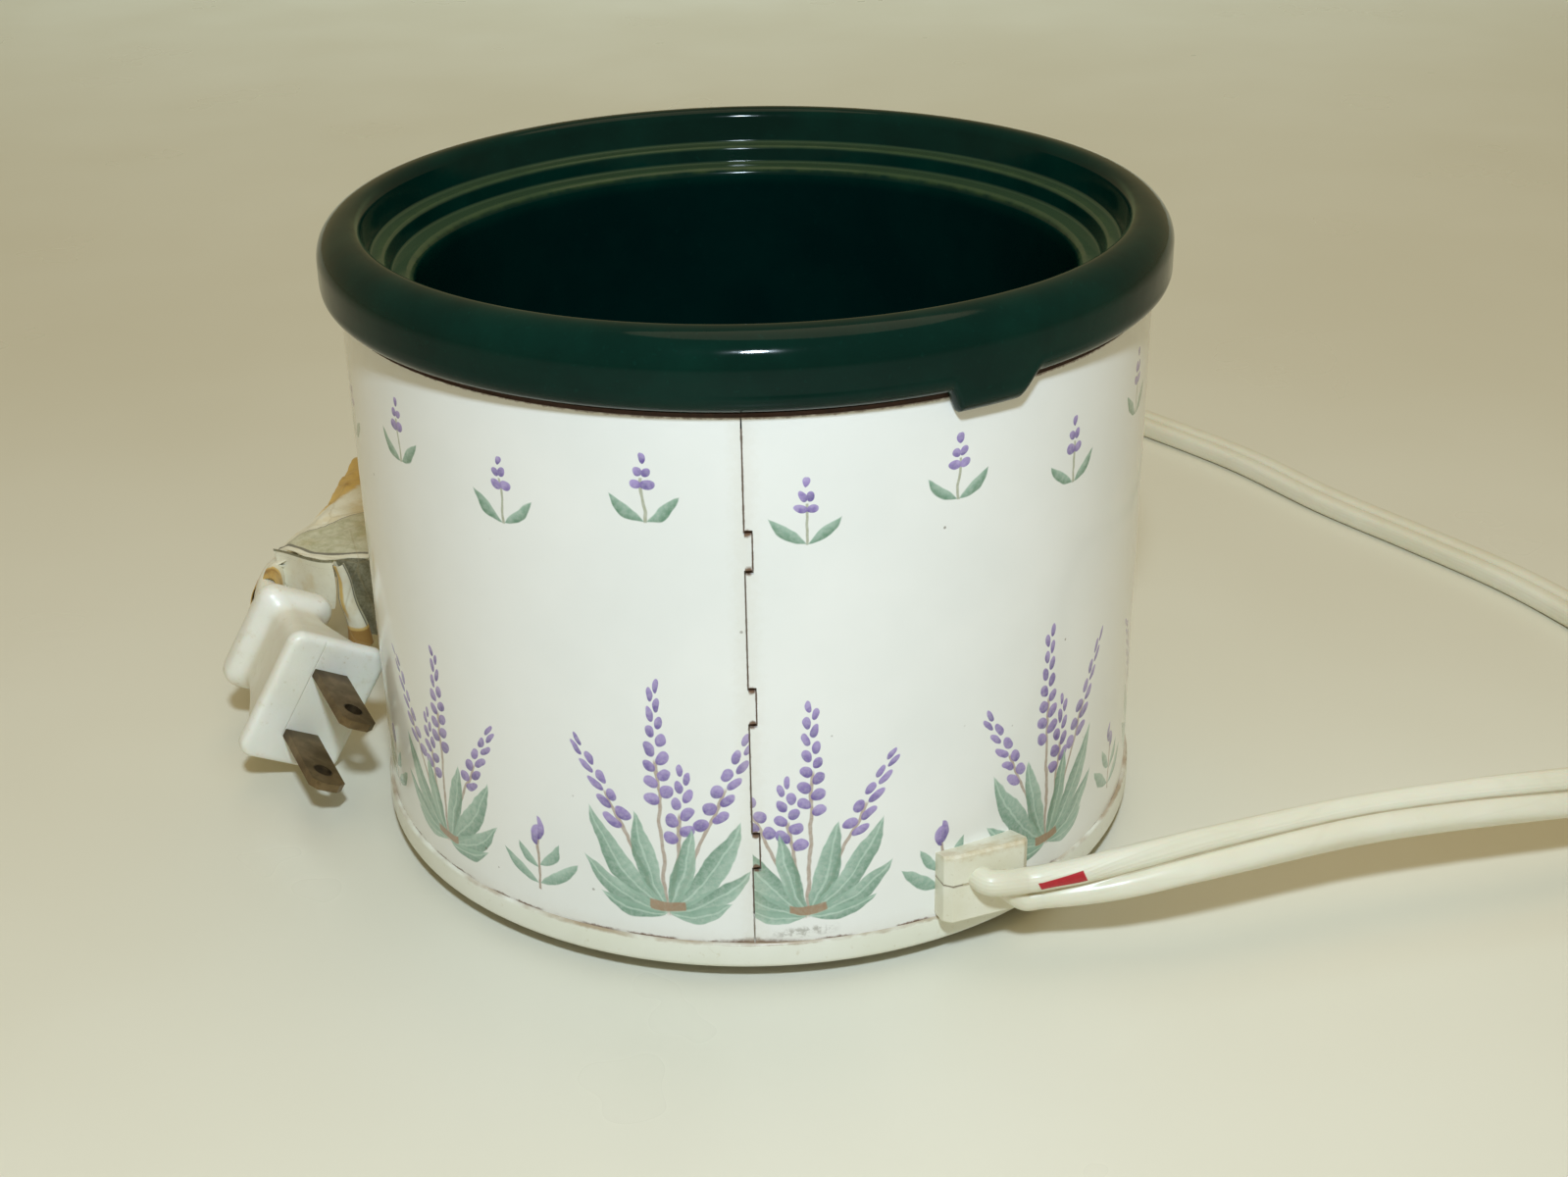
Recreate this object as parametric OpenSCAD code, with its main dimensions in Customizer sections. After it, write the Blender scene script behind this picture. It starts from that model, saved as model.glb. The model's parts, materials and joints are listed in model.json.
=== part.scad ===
// Small electric wax warmer pot: a lift-out stoneware crock in a round
// sheet-metal heater base, with a flat two-core lead and a two-blade plug.
// Millimetres. The origin is on the table under the middle of the pot,
// +Z is up and -Y is the front, where the sleeve's seam is.

/* [Body] */
// Outside diameter of the steel sleeve
body_d = 130; // [128:0.5:133]
// Height of the crock's rim above the table
total_h = 105; // [102:0.5:110]
// Thickness of the sleeve's sheet
sleeve_t = 0.5; // [0.4:0.05:0.6]
// Height of the sleeve's lower edge above the table
sleeve_z0 = 7.4; // [7.2:0.1:7.8]
// Direction of the sleeve's seam, in degrees
seam_az = -91.2; // [-100:0.1:-82]

/* [Crock] */
// How far the rim stands out past the sleeve
rim_over = 2.8; // [2:0.1:3.5]
// Height of the rim's outer face
rim_h = 11.25; // [10.5:0.25:12]
// Height of the crock's underside above the table
crock_z0 = 25; // [24.5:0.5:27]
// Thickness of the crock's floor
crock_floor = 7; // [5:0.5:9]
// Direction of the locating lug under the rim, in degrees
lug_az = -59.6; // [-62:0.1:-57]
// How far the crock lifts in the slide's full travel
lift = 90; // [75:1:100]

/* [Base] */
// Outside diameter of the plastic base ring
ring_d = 131.2; // [130.8:0.1:132]
// Height of the feet below the base ring
foot_gap = 2.8; // [2.2:0.1:3.2]
// Distance of the feet from the middle
foot_r = 50; // [44:1:52]
// Number of feet
foot_n = 4; // [3, 4, 5]

/* [Lead] */
// Width of the flat lead
cord_w = 7.6; // [7.2:0.1:7.6]
// Thickness of the flat lead
cord_t = 3.8; // [3.4:0.1:3.8]
// Sides of the lead's section
cord_sides = 12; // [8, 12]

/* [Plug] */
// Distance between the blades' middles
blade_gap = 12.7; // [12.5:0.1:12.9]
// Width of a blade
blade_w = 6.35; // [6:0.05:6.6]
// Thickness of a blade
blade_t = 1.5; // [1.4:0.05:1.6]
// Length of a blade outside the plug
blade_len = 17; // [15:0.5:18]

/* [Heater] */
// Height of the heater band
band_h = 20; // [16:1:24]
// Height of the heater band's lower edge above the table
band_z0 = 36; // [34:1:40]
// Direction of the gap in the heater band, in degrees
gap_az = 120; // [110:1:130]
// Rows of resistance ribbon in the band
rows = 5; // [3, 4, 5]

/* [Hidden] */
$fn = 96;

sleeve_r = body_d/2;
rim_r = sleeve_r + rim_over;
rim_z = total_h - rim_h;          // underside of the crock's rim
flange_z = rim_z - 0.3;           // top of the well's flange
sleeve_z1 = flange_z - 0.6;       // top edge of the sleeve
well_r = sleeve_r - 7.4;          // outside of the well's wall
well_t = 0.6;
well_z = crock_z0 - 2.4;          // underside of the well
floor_z = crock_z0 + crock_floor; // inside floor of the crock
gap_half = 8;                     // half of the gap in the heater band

// points of an arc
function arc(cx, cy, r, a0, a1, n = 6) =
  [for (i = [0:n]) let (a = a0 + (a1 - a0)*i/n) [cx + r*cos(a), cy + r*sin(a)]];
// a point in cylindrical terms
function pol(r, az, z) = [r*cos(az), r*sin(az), z];
function unit(v) = v/norm(v);
function tang(p, i) = i == 0 ? unit(p[1] - p[0])
  : i == len(p) - 1 ? unit(p[i] - p[i - 1])
  : unit(unit(p[i + 1] - p[i]) + unit(p[i] - p[i - 1]));
// a smooth curve through points
function cr(a, b, c, d, t) = 0.5*(2*b + (c - a)*t + (2*a - 5*b + 4*c - d)*t*t
  + (3*b - a - 3*c + d)*t*t*t);
function smooth(p, k) = [for (i = [0:len(p) - 2], j = [0:k - 1])
    let (a = i == 0 ? 2*p[0] - p[1] : p[i - 1],
      d = i == len(p) - 2 ? 2*p[i + 1] - p[i] : p[i + 2])
    cr(a, p[i], p[i + 1], d, j/k), p[len(p) - 1]];
function xyz(p) = [for (q = p) [q[0], q[1], q[2]]];

module ring(r1, r0, z0, z1) translate([0, 0, z0]) difference() {
  cylinder(r = r1, h = z1 - z0);
  translate([0, 0, -1]) cylinder(r = r0, h = z1 - z0 + 2);
}
module at(az) rotate([0, 0, az]) children();
module disc(r, z0, z1) translate([0, 0, z0]) cylinder(r = r, h = z1 - z0);

// a solid swept along points; roll turns the section about the path
module sweep(p, roll, sec) {
  n = len(sec);
  m = len(p);
  polyhedron(
    [for (i = [0:m - 1]) let (t = tang(p, i), h = unit(cross([0, 0, 1], t)),
      v = cross(t, h), c = cos(roll[i]), s = sin(roll[i]))
      for (q = sec) p[i] + (h*c + v*s)*q[0] + (v*c - h*s)*q[1]],
    concat([[for (j = [0:n - 1]) j]],
      [for (i = [0:m - 2], j = [0:n - 1], k = [0:1])
        let (a = i*n + j, b = a + n, d = i*n + (j + 1)%n, c = d + n)
        k == 0 ? [a, b, c] : [a, c, d]],
      [[for (j = [n - 1:-1:0]) (m - 1)*n + j]]));
}
module wire(p, r) sweep(p, [for (q = p) 0],
  [for (j = [0:7]) [r*cos(45*j), r*sin(45*j)]]);

// ---------------------------------------------------------------- crock
cav_r = well_r - 4.6;             // crock's mouth inside the lower ledge
body_r = well_r - 1.4;            // crock's wall below the rim
module crock_profile() polygon(concat(
  [[0, crock_z0]],
  arc(body_r - 5.8, crock_z0 + 5, 5, -90, 0),
  [[body_r, rim_z]],
  arc(rim_r - 2.5, rim_z + 2.5, 2.5, -90, 0),
  arc(rim_r - 5, total_h - 5, 5, 0, 90, 8),
  arc(rim_r - 4.8, total_h - 2.2, 2.2, 90, 180),
  [[rim_r - 7.9, total_h - 5.4], [rim_r - 8.4, total_h - 6]],
  arc(rim_r - 9.8, total_h - 6.8, 0.8, 90, 180, 4),
  [[rim_r - 10.9, total_h - 8.4], [rim_r - 11.4, total_h - 9]],
  arc(cav_r + 1.5, total_h - 10.5, 1.5, 90, 180, 4),
  [[cav_r - 0.4, total_h - 18], [cav_r - 1.6, floor_z + 9]],
  arc(cav_r - 10.6, floor_z + 9, 9, 0, -90, 8),
  [[0, floor_z]]));
// outline of the lug: a steep end on the left, an easy one on the right
lug_line = [[-7.2, 5], [-7, 3.2], [-6.7, 1.6], [-6.1, 0.5], [-5.2, 0],
  [3, 0], [4.4, 0.4], [5.6, 1.4], [6.6, 2.6], [7.6, 3.2], [7.6, 5]];
module crock() color("#16302f") difference() {
  union() {
    rotate_extrude() crock_profile();
    // lug outside the sleeve
    intersection() {
      ring(rim_r - 0.4, sleeve_r + 0.35, rim_z - 4, rim_z + 4);
      at(lug_az) translate([sleeve_r - 2, 0, rim_z - 3.2]) rotate([90, 0, 90])
        linear_extrude(8) polygon(lug_line);
    }
    // key that drops into the notch of the well's flange
    intersection() {
      ring(sleeve_r + 1, sleeve_r - 3.4, rim_z - 2.85, rim_z + 2);
      at(lug_az) translate([sleeve_r - 6, -4.4, rim_z - 2.85]) cube([10, 8.8, 4.5]);
    }
  }
}

// ---------------------------------------------------------------- sleeve
tab_z = [[20.9, 26.7], [45.4, 51], [69.9, 75.7]];
blk_az = -70;                     // direction the strain relief faces
blk_u0 = 4.2; blk_u1 = 18.3;      // its sides, across that direction
blk_z0 = 9.2; blk_z1 = 20.8;      // its underside and top
blk_n = sleeve_r + 4;             // its face
blk_u = 11.1; blk_zc = 15;        // where the lead passes through
module outer_sleeve() color("#f7f6f2") difference() {
  union() {
    difference() {
      ring(sleeve_r, sleeve_r - sleeve_t, sleeve_z0, sleeve_z1);
      at(seam_az) translate([sleeve_r - 2, -0.15, 0]) cube([4, 0.3, total_h]);
      for (t = tab_z) at(seam_az) {
        translate([sleeve_r - 2, -0.1, t[0]]) cube([4, 1.3, t[1] - t[0]]);
        for (z = t) translate([sleeve_r - 2, 0.75, z - 0.45]) cube([4, 0.9, 0.9]);
      }
    }
    // lap under the seam, fixed to both edges
    intersection() {
      ring(sleeve_r - sleeve_t + 0.03, sleeve_r - sleeve_t - 0.5, sleeve_z0 + 5.2, sleeve_z1 - 2);
      at(seam_az) translate([sleeve_r - 4, -3, 0]) cube([8, 9, total_h]);
    }
    // tabs of the left edge in the notches of the right one
    for (t = tab_z) at(seam_az)
      translate([sleeve_r - sleeve_t - 0.05, -0.5, t[0] + 0.15])
        cube([sleeve_t - 0.2, 1.5, t[1] - t[0] - 0.3]);
  }
  at(lug_az) translate([sleeve_r - 5, -5, rim_z - 3.5]) cube([10, 10, 10]);
  at(blk_az) translate([sleeve_r - 10, blk_u0 + 2, blk_z0 + 1]) cube([20, 10, 9.6]);
}

// ---------------------------------------------------------------- well
module heating_well() color("#b9bbbd") difference() {
  rotate_extrude() polygon(concat(
    [[0, well_z]],
    arc(well_r - 6, well_z + 6, 6, -90, 0),
    [[well_r, flange_z - 0.6], [sleeve_r - 1.8, flange_z - 0.6],
     [sleeve_r - 1.8, flange_z - 1.9], [sleeve_r - 1.2, flange_z - 1.9],
     [sleeve_r - 1.2, flange_z - 0.6], [sleeve_r + 0.2, flange_z - 0.6],
     [sleeve_r + 0.2, flange_z], [well_r - well_t, flange_z]],
    arc(well_r - 6, well_z + 6, 6 - well_t, 0, -90),
    [[0, well_z + well_t]]));
  at(lug_az) translate([sleeve_r - 4, -5, rim_z - 3.5]) cube([10, 10, 10]);
}
// hat-shaped bracket under the well that holds the bolt's head
module well_bracket() color("#9a9c9e") difference() {
  union() {
    translate([-18, -7, well_z - 5.6]) cube([36, 14, 1]);
    for (s = [-1, 1]) {
      translate([s*17.5 - 0.5, -7, well_z - 5.6]) cube([1, 14, 5.6]);
      translate([s*22 - 5, -7, well_z - 1]) cube([10, 14, 1]);
    }
  }
  translate([0, 0, well_z - 8]) cylinder(r = 2.65, h = 5);
}
module tie_bolt() color("#8d8f92") {
  translate([0, 0, well_z - 4.6]) cylinder(r = 4.62, h = 3, $fn = 6);
  disc(2.5, 5, well_z - 4.5);
}
module spacer_tube() color("#c2c4c6") ring(4.5, 2.7, 13.6, well_z - 5.6);
module heat_shield() color("#c9cacb") difference() {
  union() {
    disc(48, 13, 13.6);
    ring(48, 47.4, 13, 15);
  }
  disc(2.65, 12, 15);
}
module tie_washer() color("#a9abad") ring(5.5, 2.65, 11.2, 12.2);
module tie_nut() color("#8d8f92") difference() {
  translate([0, 0, 7.2]) cylinder(r = 4.62, h = 4, $fn = 6);
  disc(2.52, 6, 12);
}

// ---------------------------------------------------------------- base
ring_r = ring_d/2;
module base_ring() color("#efeadb") difference() {
  rotate_extrude() polygon(concat(
    [[sleeve_r - 3, foot_gap]],
    arc(ring_r - 1, foot_gap + 1, 1, -90, 0, 4),
    arc(ring_r - 0.4, sleeve_z0 - 0.4, 0.4, 0, 90, 3),
    [[sleeve_r - sleeve_t - 0.1, sleeve_z0], [sleeve_r - sleeve_t - 0.1, sleeve_z0 + 4.6],
     [sleeve_r - 2.6, sleeve_z0 + 4.6], [sleeve_r - 2.6, 8.2],
     [sleeve_r - 8, 8.2], [sleeve_r - 8, 6.2], [sleeve_r - 3, 6.2]]));
  // room for the strain relief
  at(blk_az) translate([sleeve_r - 12, blk_u0 - 0.6, 9]) cube([20, 15.4, 6]);
}
module base_plate() color("#a5a7a8") difference() {
  rotate_extrude() polygon([[0, 12.2], [13, 12.2], [19, 5.4], [sleeve_r - 3.5, 5.4],
    [sleeve_r - 3.5, 6.2], [19.4, 6.2], [13.4, 13], [0, 13]]);
  disc(2.65, 10, 15);
  for (i = [0:foot_n - 1]) at(45 + 360*i/foot_n) translate([foot_r, 0, 4])
    cylinder(r = 2.5, h = 4);
}
module feet() color("#3a3936") for (i = [0:foot_n - 1]) at(45 + 360*i/foot_n)
  translate([foot_r, 0, 0]) rotate_extrude($fn = 48) polygon([[0, 0], [4.6, 0], [5, 0.4],
    [6, 4.9], [5.6, 5.4], [2.4, 5.4], [2.4, 6.3], [3.3, 6.5], [2.2, 8.2], [0, 8.2]]);

// ---------------------------------------------------------------- heater
module band(r1, r0, z0, z1) difference() {
  ring(r1, r0, z0, z1);
  at(gap_az) translate([well_r - 8, -gap_half, z0 - 1]) cube([20, 2*gap_half, z1 - z0 + 2]);
}
band_z1 = band_z0 + band_h;
module heater_core() color("#c8b98a") band(well_r + 0.7, well_r + 0.1, band_z0, band_z1);
pitch = (band_h - 5)/(rows - 1);
module heater_ribbon() color("#7c7468") {
  for (i = [0:rows - 1]) band(well_r + 1.05, well_r + 0.75,
    band_z0 + 1.9 + i*pitch, band_z0 + 3.1 + i*pitch);
  for (i = [0:rows - 2]) at(gap_az + (i%2 == 0 ? 9 : -9))
    translate([well_r + 0.78, -0.6, band_z0 + 2 + i*pitch]) cube([0.25, 1.2, pitch + 1]);
  // terminal tabs below the band
  for (s = [-1, 1]) at(gap_az + 10*s) translate([well_r + 0.78, -1.5, band_z0 - 6])
    cube([0.25, 3, 8.5]);
  at(gap_az - 10) translate([well_r + 0.78, -1.5, band_z0 + 2]) cube([0.25, 1.2, band_h - 4]);
}
module heater_cover() color("#d6cba6") band(well_r + 1.65, well_r + 1.15, band_z0, band_z1);
strap_z = band_z0 + band_h/2;
module heater_strap() color("#9fa1a3") difference() {
  union() {
    difference() {
      ring(well_r + 2.25, well_r + 1.75, strap_z - 5, strap_z + 5);
      at(gap_az) translate([well_r - 8, -4, strap_z - 8]) cube([20, 8, 16]);
    }
    for (s = [-1, 1]) at(gap_az) translate([well_r + 1.75, s*4.3 - 0.3, strap_z - 4])
      cube([4.4, 0.6, 8]);
  }
  at(gap_az) translate([well_r + 4.4, 8, strap_z]) rotate([90, 0, 0]) cylinder(r = 1.1, h = 16);
}
module strap_bolt() color("#85878a") at(gap_az) translate([well_r + 4.4, 0, strap_z])
  rotate([90, 0, 0]) {
    translate([0, 0, -7]) cylinder(r = 1, h = 11.7);
    translate([0, 0, 4.65]) cylinder(r = 1.8, h = 1.6);
  }
module strap_nut() color("#85878a") at(gap_az) translate([well_r + 4.4, 4.7, strap_z])
  rotate([-90, 0, 0]) difference() {
    rotate([0, 0, 30]) cylinder(r = 2.1, h = 1.6, $fn = 6);
    translate([0, 0, -1]) cylinder(r = 1.03, h = 4);
  }
fuse_az = 55; fuse_z = 29; fuse_r = well_r + 2.3;
module thermal_fuse() color("#d8c79a") at(fuse_az) translate([fuse_r, 0, fuse_z])
  rotate([90, 0, 0]) {
    translate([0, 0, -5.5]) cylinder(r = 2, h = 11);
    translate([0, 0, -8.5]) cylinder(r = 0.5, h = 17);
  }
module fuse_clip() color("#a3a5a7") at(fuse_az) translate([fuse_r, 0, fuse_z]) {
  difference() {
    rotate([90, 0, 0]) translate([0, 0, -2.5]) cylinder(r = 2.6, h = 5);
    rotate([90, 0, 0]) translate([0, 0, -4]) cylinder(r = 2.06, h = 8);
    translate([-4, -4, -4]) cube([4, 8, 8]);
  }
  for (s = [-1, 1]) {
    translate([-2.2, -2.5, s*2.33 - 0.26]) cube([2.2, 5, 0.52]);
    translate([-2.2, -2.5, s*3.9 - 1.55]) cube([0.5, 5, 3.1]);
  }
}

// ---------------------------------------------------------------- wiring
crimp_az = [-36, -88];
crimp_p = [for (a = crimp_az) pol(58.5, a, 17)];
function tan_dir(a) = [-sin(a), cos(a), 0];
module crimp_connectors() color("#e7e4da") for (i = [0, 1])
  translate(crimp_p[i]) at(crimp_az[i]) rotate([90, 0, 0]) difference() {
    translate([0, 0, -6]) cylinder(r = 2.4, h = 12);
    translate([0, 0, -7]) cylinder(r = 1.25, h = 14);
  }
// a point by the strain relief: outward, across and up
function blk(n, u, z) = [n*cos(blk_az) - u*sin(blk_az), n*sin(blk_az) + u*cos(blk_az), z];
module stadium(w, t) {
  square([w - t, t], center = true);
  for (s = [-1, 1]) translate([s*(w - t)/2, 0]) circle(d = t, $fn = 32);
}
// the lead's end inside the base: jacket, then two split cores
module cord_tails() color("#ece6d2") {
  at(blk_az) translate([61, blk_u, blk_zc]) rotate([90, 0, 90])
    linear_extrude(blk_n - 61) stadium(cord_w, cord_t);
  wire([blk(61.3, blk_u + 1.9, blk_zc), blk(59.5, blk_u + 2.6, 15.4), pol(59.3, -50, 16.4),
    crimp_p[0] - 9*tan_dir(crimp_az[0]), crimp_p[0] - 7*tan_dir(crimp_az[0]),
    crimp_p[0] - 1.5*tan_dir(crimp_az[0])], 1.1);
  wire([blk(61.3, blk_u - 1.9, blk_zc), blk(59.5, blk_u - 2.6, 15.4), pol(59.3, -74, 16.4),
    crimp_p[1] + 9*tan_dir(crimp_az[1]), crimp_p[1] + 7*tan_dir(crimp_az[1]),
    crimp_p[1] + 1.5*tan_dir(crimp_az[1])], 1.1);
}
fuse_p = pol(fuse_r, fuse_az, fuse_z);
module live_lead() color("#b4473c") {
  wire([crimp_p[0] + 1.5*tan_dir(crimp_az[0]), crimp_p[0] + 7*tan_dir(crimp_az[0]),
    crimp_p[0] + 9*tan_dir(crimp_az[0]), pol(60, -16, 18), pol(61, 0, 21), pol(61.2, 18, 25),
    pol(60.8, 34, 28.2), fuse_p - 11.5*tan_dir(fuse_az), fuse_p - 8.6*tan_dir(fuse_az)], 1.1);
  wire([fuse_p + 8.6*tan_dir(fuse_az), fuse_p + 11.5*tan_dir(fuse_az), pol(61, 76, 29),
    pol(61.4, 92, 30), pol(61.2, 104, 31.4), pol(60.2, 109.4, 32)], 1.1);
}
module neutral_lead() color("#3f4a5c")
  wire([crimp_p[1] - 1.5*tan_dir(crimp_az[1]), crimp_p[1] - 7*tan_dir(crimp_az[1]),
    crimp_p[1] - 9*tan_dir(crimp_az[1]), pol(60, -112, 18), pol(61, -128, 21), pol(61.3, -146, 24.5),
    pol(61.4, -166, 27), pol(61.4, -186, 29), pol(61.4, -206, 30.5), pol(61.4, -222, 31.4),
    pol(61.2, -224.6, 31.8), pol(60.2, -229.4, 32)], 1.1);

// ---------------------------------------------------------------- strain relief
module bushing() difference() {
  union() {
    difference() {
      // chamfered block outside the sleeve
      intersection() {
        at(blk_az) translate([0, 0, blk_z0]) linear_extrude(blk_z1 - blk_z0)
          polygon([[sleeve_r - 6, blk_u0], [blk_n - 1.1, blk_u0], [blk_n, blk_u0 + 1.1],
            [blk_n, blk_u1 - 1.1], [blk_n - 1.1, blk_u1], [sleeve_r - 6, blk_u1]]);
        at(blk_az) translate([0, blk_u1 + 2, 0]) rotate([90, 0, 0])
          linear_extrude(blk_u1 - blk_u0 + 4)
            polygon([[sleeve_r - 7, blk_z0], [blk_n - 0.9, blk_z0], [blk_n, blk_z0 + 0.9],
              [blk_n, blk_z1 - 0.9], [blk_n - 0.9, blk_z1], [sleeve_r - 7, blk_z1]]);
      }
      disc(sleeve_r + 0.05, 0, 40);
    }
    // neck through the sleeve
    at(blk_az) translate([sleeve_r - 4.5, blk_u0 + 2.2, blk_z0 + 1.2]) cube([6.5, 9.6, 9.2]);
    // flange behind the sleeve
    intersection() {
      ring(sleeve_r - sleeve_t - 0.1, sleeve_r - 3, blk_z0 + 0.2, blk_z1 - 0.2);
      at(blk_az) translate([sleeve_r - 10, blk_u0 + 0.2, 0]) cube([20, 13.6, 40]);
    }
  }
  at(blk_az) translate([sleeve_r - 12, blk_u, blk_zc]) rotate([90, 0, 90])
    linear_extrude(30) stadium(cord_w + 0.1, cord_t + 0.1);
}
module bushing_upper() color("#ece3cb") intersection() {
  bushing();
  translate([0, -100, blk_zc + 0.06]) cube([100, 100, 40]);
}
module bushing_lower() color("#efe8d4") intersection() {
  bushing();
  translate([0, -100, blk_zc - 40.06]) cube([100, 100, 40]);
}
// the lead's moulded right-angle turn at the strain relief
cord_p0 = [42.5, -60.5, 13];
cord_az0 = 4;
module cord_elbow() color("#eee9d8") hull() {
  at(blk_az) translate([blk_n, blk_u, blk_zc]) rotate([90, 0, 90])
    linear_extrude(0.4) stadium(cord_w, cord_t);
  at(blk_az) translate([blk_n + 2, blk_u - 1.7, blk_zc]) sphere(r = cord_t/2 - 0.1, $fn = 24);
  at(blk_az) translate([blk_n + 2.4, blk_u + 1.5, blk_zc - 2.2]) sphere(r = cord_t/2 - 0.1, $fn = 24);
  translate(cord_p0) at(cord_az0) translate([-0.4, 0, 0]) rotate([90, 0, 90])
    linear_extrude(0.4) rotate(90) stadium(cord_w, cord_t);
}

// ---------------------------------------------------------------- lead
plug_pos = [-78.7, -0.6, 14.9];
plug_rot = [-77, -60, 15];
function rx(a, p) = [p[0], p[1]*cos(a) - p[2]*sin(a), p[1]*sin(a) + p[2]*cos(a)];
function ry(a, p) = [p[0]*cos(a) + p[2]*sin(a), p[1], p[2]*cos(a) - p[0]*sin(a)];
function rz(a, p) = [p[0]*cos(a) - p[1]*sin(a), p[0]*sin(a) + p[1]*cos(a), p[2]];
function plug_at(p) = plug_pos + rz(plug_rot[2], ry(plug_rot[1], rx(plug_rot[0], p)));
plug_tail = 28;                   // from the plug's face to the lead
cord_e0 = plug_at([0, 0, plug_tail]);
cord_e1 = plug_at([0, 0, plug_tail + 6]);
// points of the route, with the turn of the flat section: 90 stands on edge
route = [[42.5, -60.5, 13, 90], [49.5, -60.1, 13.7, 84], [57, -59.3, 14.8, 66], [70, -56.4, 15.9, 42],
  [92.5, -49.6, 16.3, 26], [111.4, -45.5, 16.3, 30], [130, -41.6, 15.6, 45], [147, -36.3, 13.4, 40],
  [161.5, -27, 10.2, 28], [171.5, -12.5, 6.8, 15], [175.5, 5, 4.2, 6], [173.5, 25, 2.8, 0],
  [167, 45, 2.2, 0], [157, 65, 2.1, 0],
  [143.5, 86, 2.1, 0], [130, 107, 2.1, 0], [115, 132, 2.1, 0],
  [101, 154, 2.1, 0], [88, 170, 2.1, 0], [71, 181, 2.1, 0], [51, 183, 2.1, 0],
  [32, 177, 2.1, 0], [15, 165, 2.1, 0], [1, 149, 2.1, 0], [-12, 131, 2.1, 0],
  [-26, 114, 2.1, 0], [-36.5, 104, 2.1, 0], [-48, 94.5, 2.4, 3], [-60, 85.5, 3.8, 10],
  [-71.5, 77, 6.8, 19], [-81, 69, 10.9, 30], [-88, 61, 14.8, 40], [-93, 53.5, 17.6, 50],
  [-95.5, 45.5, 19.2, 56], [-95.7, 37, 19.4, 59],
  [cord_e1[0], cord_e1[1], cord_e1[2], 60], [cord_e0[0], cord_e0[1], cord_e0[2], 60]];
path = smooth(route, 2);
module cord() color("#f0ecdc") sweep(xyz(path), [for (q = path) q[3]],
  [for (j = [0:cord_sides - 1]) let (a = 360*(j + 0.5)/cord_sides)
    [(cord_w - cord_t)/2*sign(cos(a)) + cord_t/2*cos(a), cord_t/2*sin(a)]]);
// folded paper slip over the lead behind the plug
tag_c = [-95.5, 19.3];             // middle of its loop round the lead
function tag_loop(a, b) = [for (t = [0:30:330])
  tag_c + a*cos(t)*[0.54, 0.84] + b*sin(t)*[-0.84, 0.54]];
module cord_tag() color("#e6e0cc") {
  // loop round the lead
  translate([0, 45, 0]) rotate([90, 0, 0]) linear_extrude(7) difference() {
    polygon(tag_loop(5.6, 3.7));
    polygon(tag_loop(5.1, 3.2));
  }
  // flap down the near side
  translate([0, 38.6, 0]) rotate([90, 0, 0]) linear_extrude(0.5)
    polygon([[-90.4, 25.9], [-78, 26.8], [-79.5, 15], [-90, 13.6]]);
  translate([0, 82, 0]) rotate([90, 0, 0]) linear_extrude(44)
    polygon([[-93.3, 23.5], [-92.5, 23.5], [-91, 25.2], [-88, 26.4], [-77, 26.6], [-74.4, 24.6],
      [-73.9, 24.9], [-76.7, 27.1], [-88, 26.9], [-91.4, 25.8]]);
  translate([0, 56, 0]) rotate([90, 0, 0]) linear_extrude(18)
    polygon([[-74.4, 24.6], [-75.4, 9], [-78.6, 5.6], [-78.2, 5.2], [-74.9, 8.8], [-73.9, 24.9]]);
}

// ---------------------------------------------------------------- plug
module slab(w, d, r, z0, z1) for (x = [-1, 1], y = [-1, 1])
  translate([x*(w/2 - r), y*(d/2 - r), z0]) cylinder(r = r, h = z1 - z0, $fn = 24);
module in_plug() translate(plug_pos) rotate(plug_rot) children();
module blade_set(g) for (s = [-1, 1]) translate([s*blade_gap/2, 0, 0])
  translate([-blade_t/2 - g, -blade_w/2 - g, -blade_len]) cube([blade_t + 2*g, blade_w + 2*g, blade_len + 7 + g]);
module plug_body() color("#f3f1e8") in_plug() difference() {
  union() {
    // face flange, waist that narrows backwards, finger grip and tail
    hull() { slab(25.5, 19, 2.6, 0.6, 2.6); slab(24.3, 17.8, 2, 0, 3.2); }
    hull() { slab(23, 16.4, 3, 3, 3.4); slab(21, 13.6, 3, 8.4, 9); }
    hull() { slab(21, 13.6, 3, 8.4, 9); slab(17.5, 9.4, 3, 18, 19.6); }
    hull() { slab(17.5, 9.4, 3, 19, 19.6); slab(21, 14.6, 3, 22, 25); slab(19, 12.6, 3, 21, 26); }
    hull() { slab(12, 8.4, 3.6, 25, 26.2); slab(9.6, 6, 2.6, 27.2, plug_tail); }
  }
  blade_set(0.03);
}
module plug_blades() color("#6f6354") in_plug() for (s = [-1, 1]) translate([s*blade_gap/2, 0, 0])
  difference() {
    translate([blade_t/2, 0, 0]) rotate([0, -90, 0]) linear_extrude(blade_t)
      polygon([[-blade_len, -blade_w/2 + 1.4], [-blade_len + 1.2, -blade_w/2], [7, -blade_w/2],
        [7, blade_w/2], [-blade_len + 1.2, blade_w/2], [-blade_len, blade_w/2 - 1.4]]);
    translate([-3, 0, -blade_len + 4.5]) rotate([0, 90, 0]) cylinder(d = 3.2, h = 6, $fn = 32);
  }

crock();
outer_sleeve();
heating_well();
well_bracket();
tie_bolt();
spacer_tube();
heat_shield();
tie_washer();
tie_nut();
base_ring();
base_plate();
feet();
heater_core();
heater_ribbon();
heater_cover();
heater_strap();
strap_bolt();
strap_nut();
thermal_fuse();
fuse_clip();
live_lead();
neutral_lead();
crimp_connectors();
cord_tails();
bushing_upper();
bushing_lower();
cord_elbow();
cord();
cord_tag();
plug_body();
plug_blades();
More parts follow.
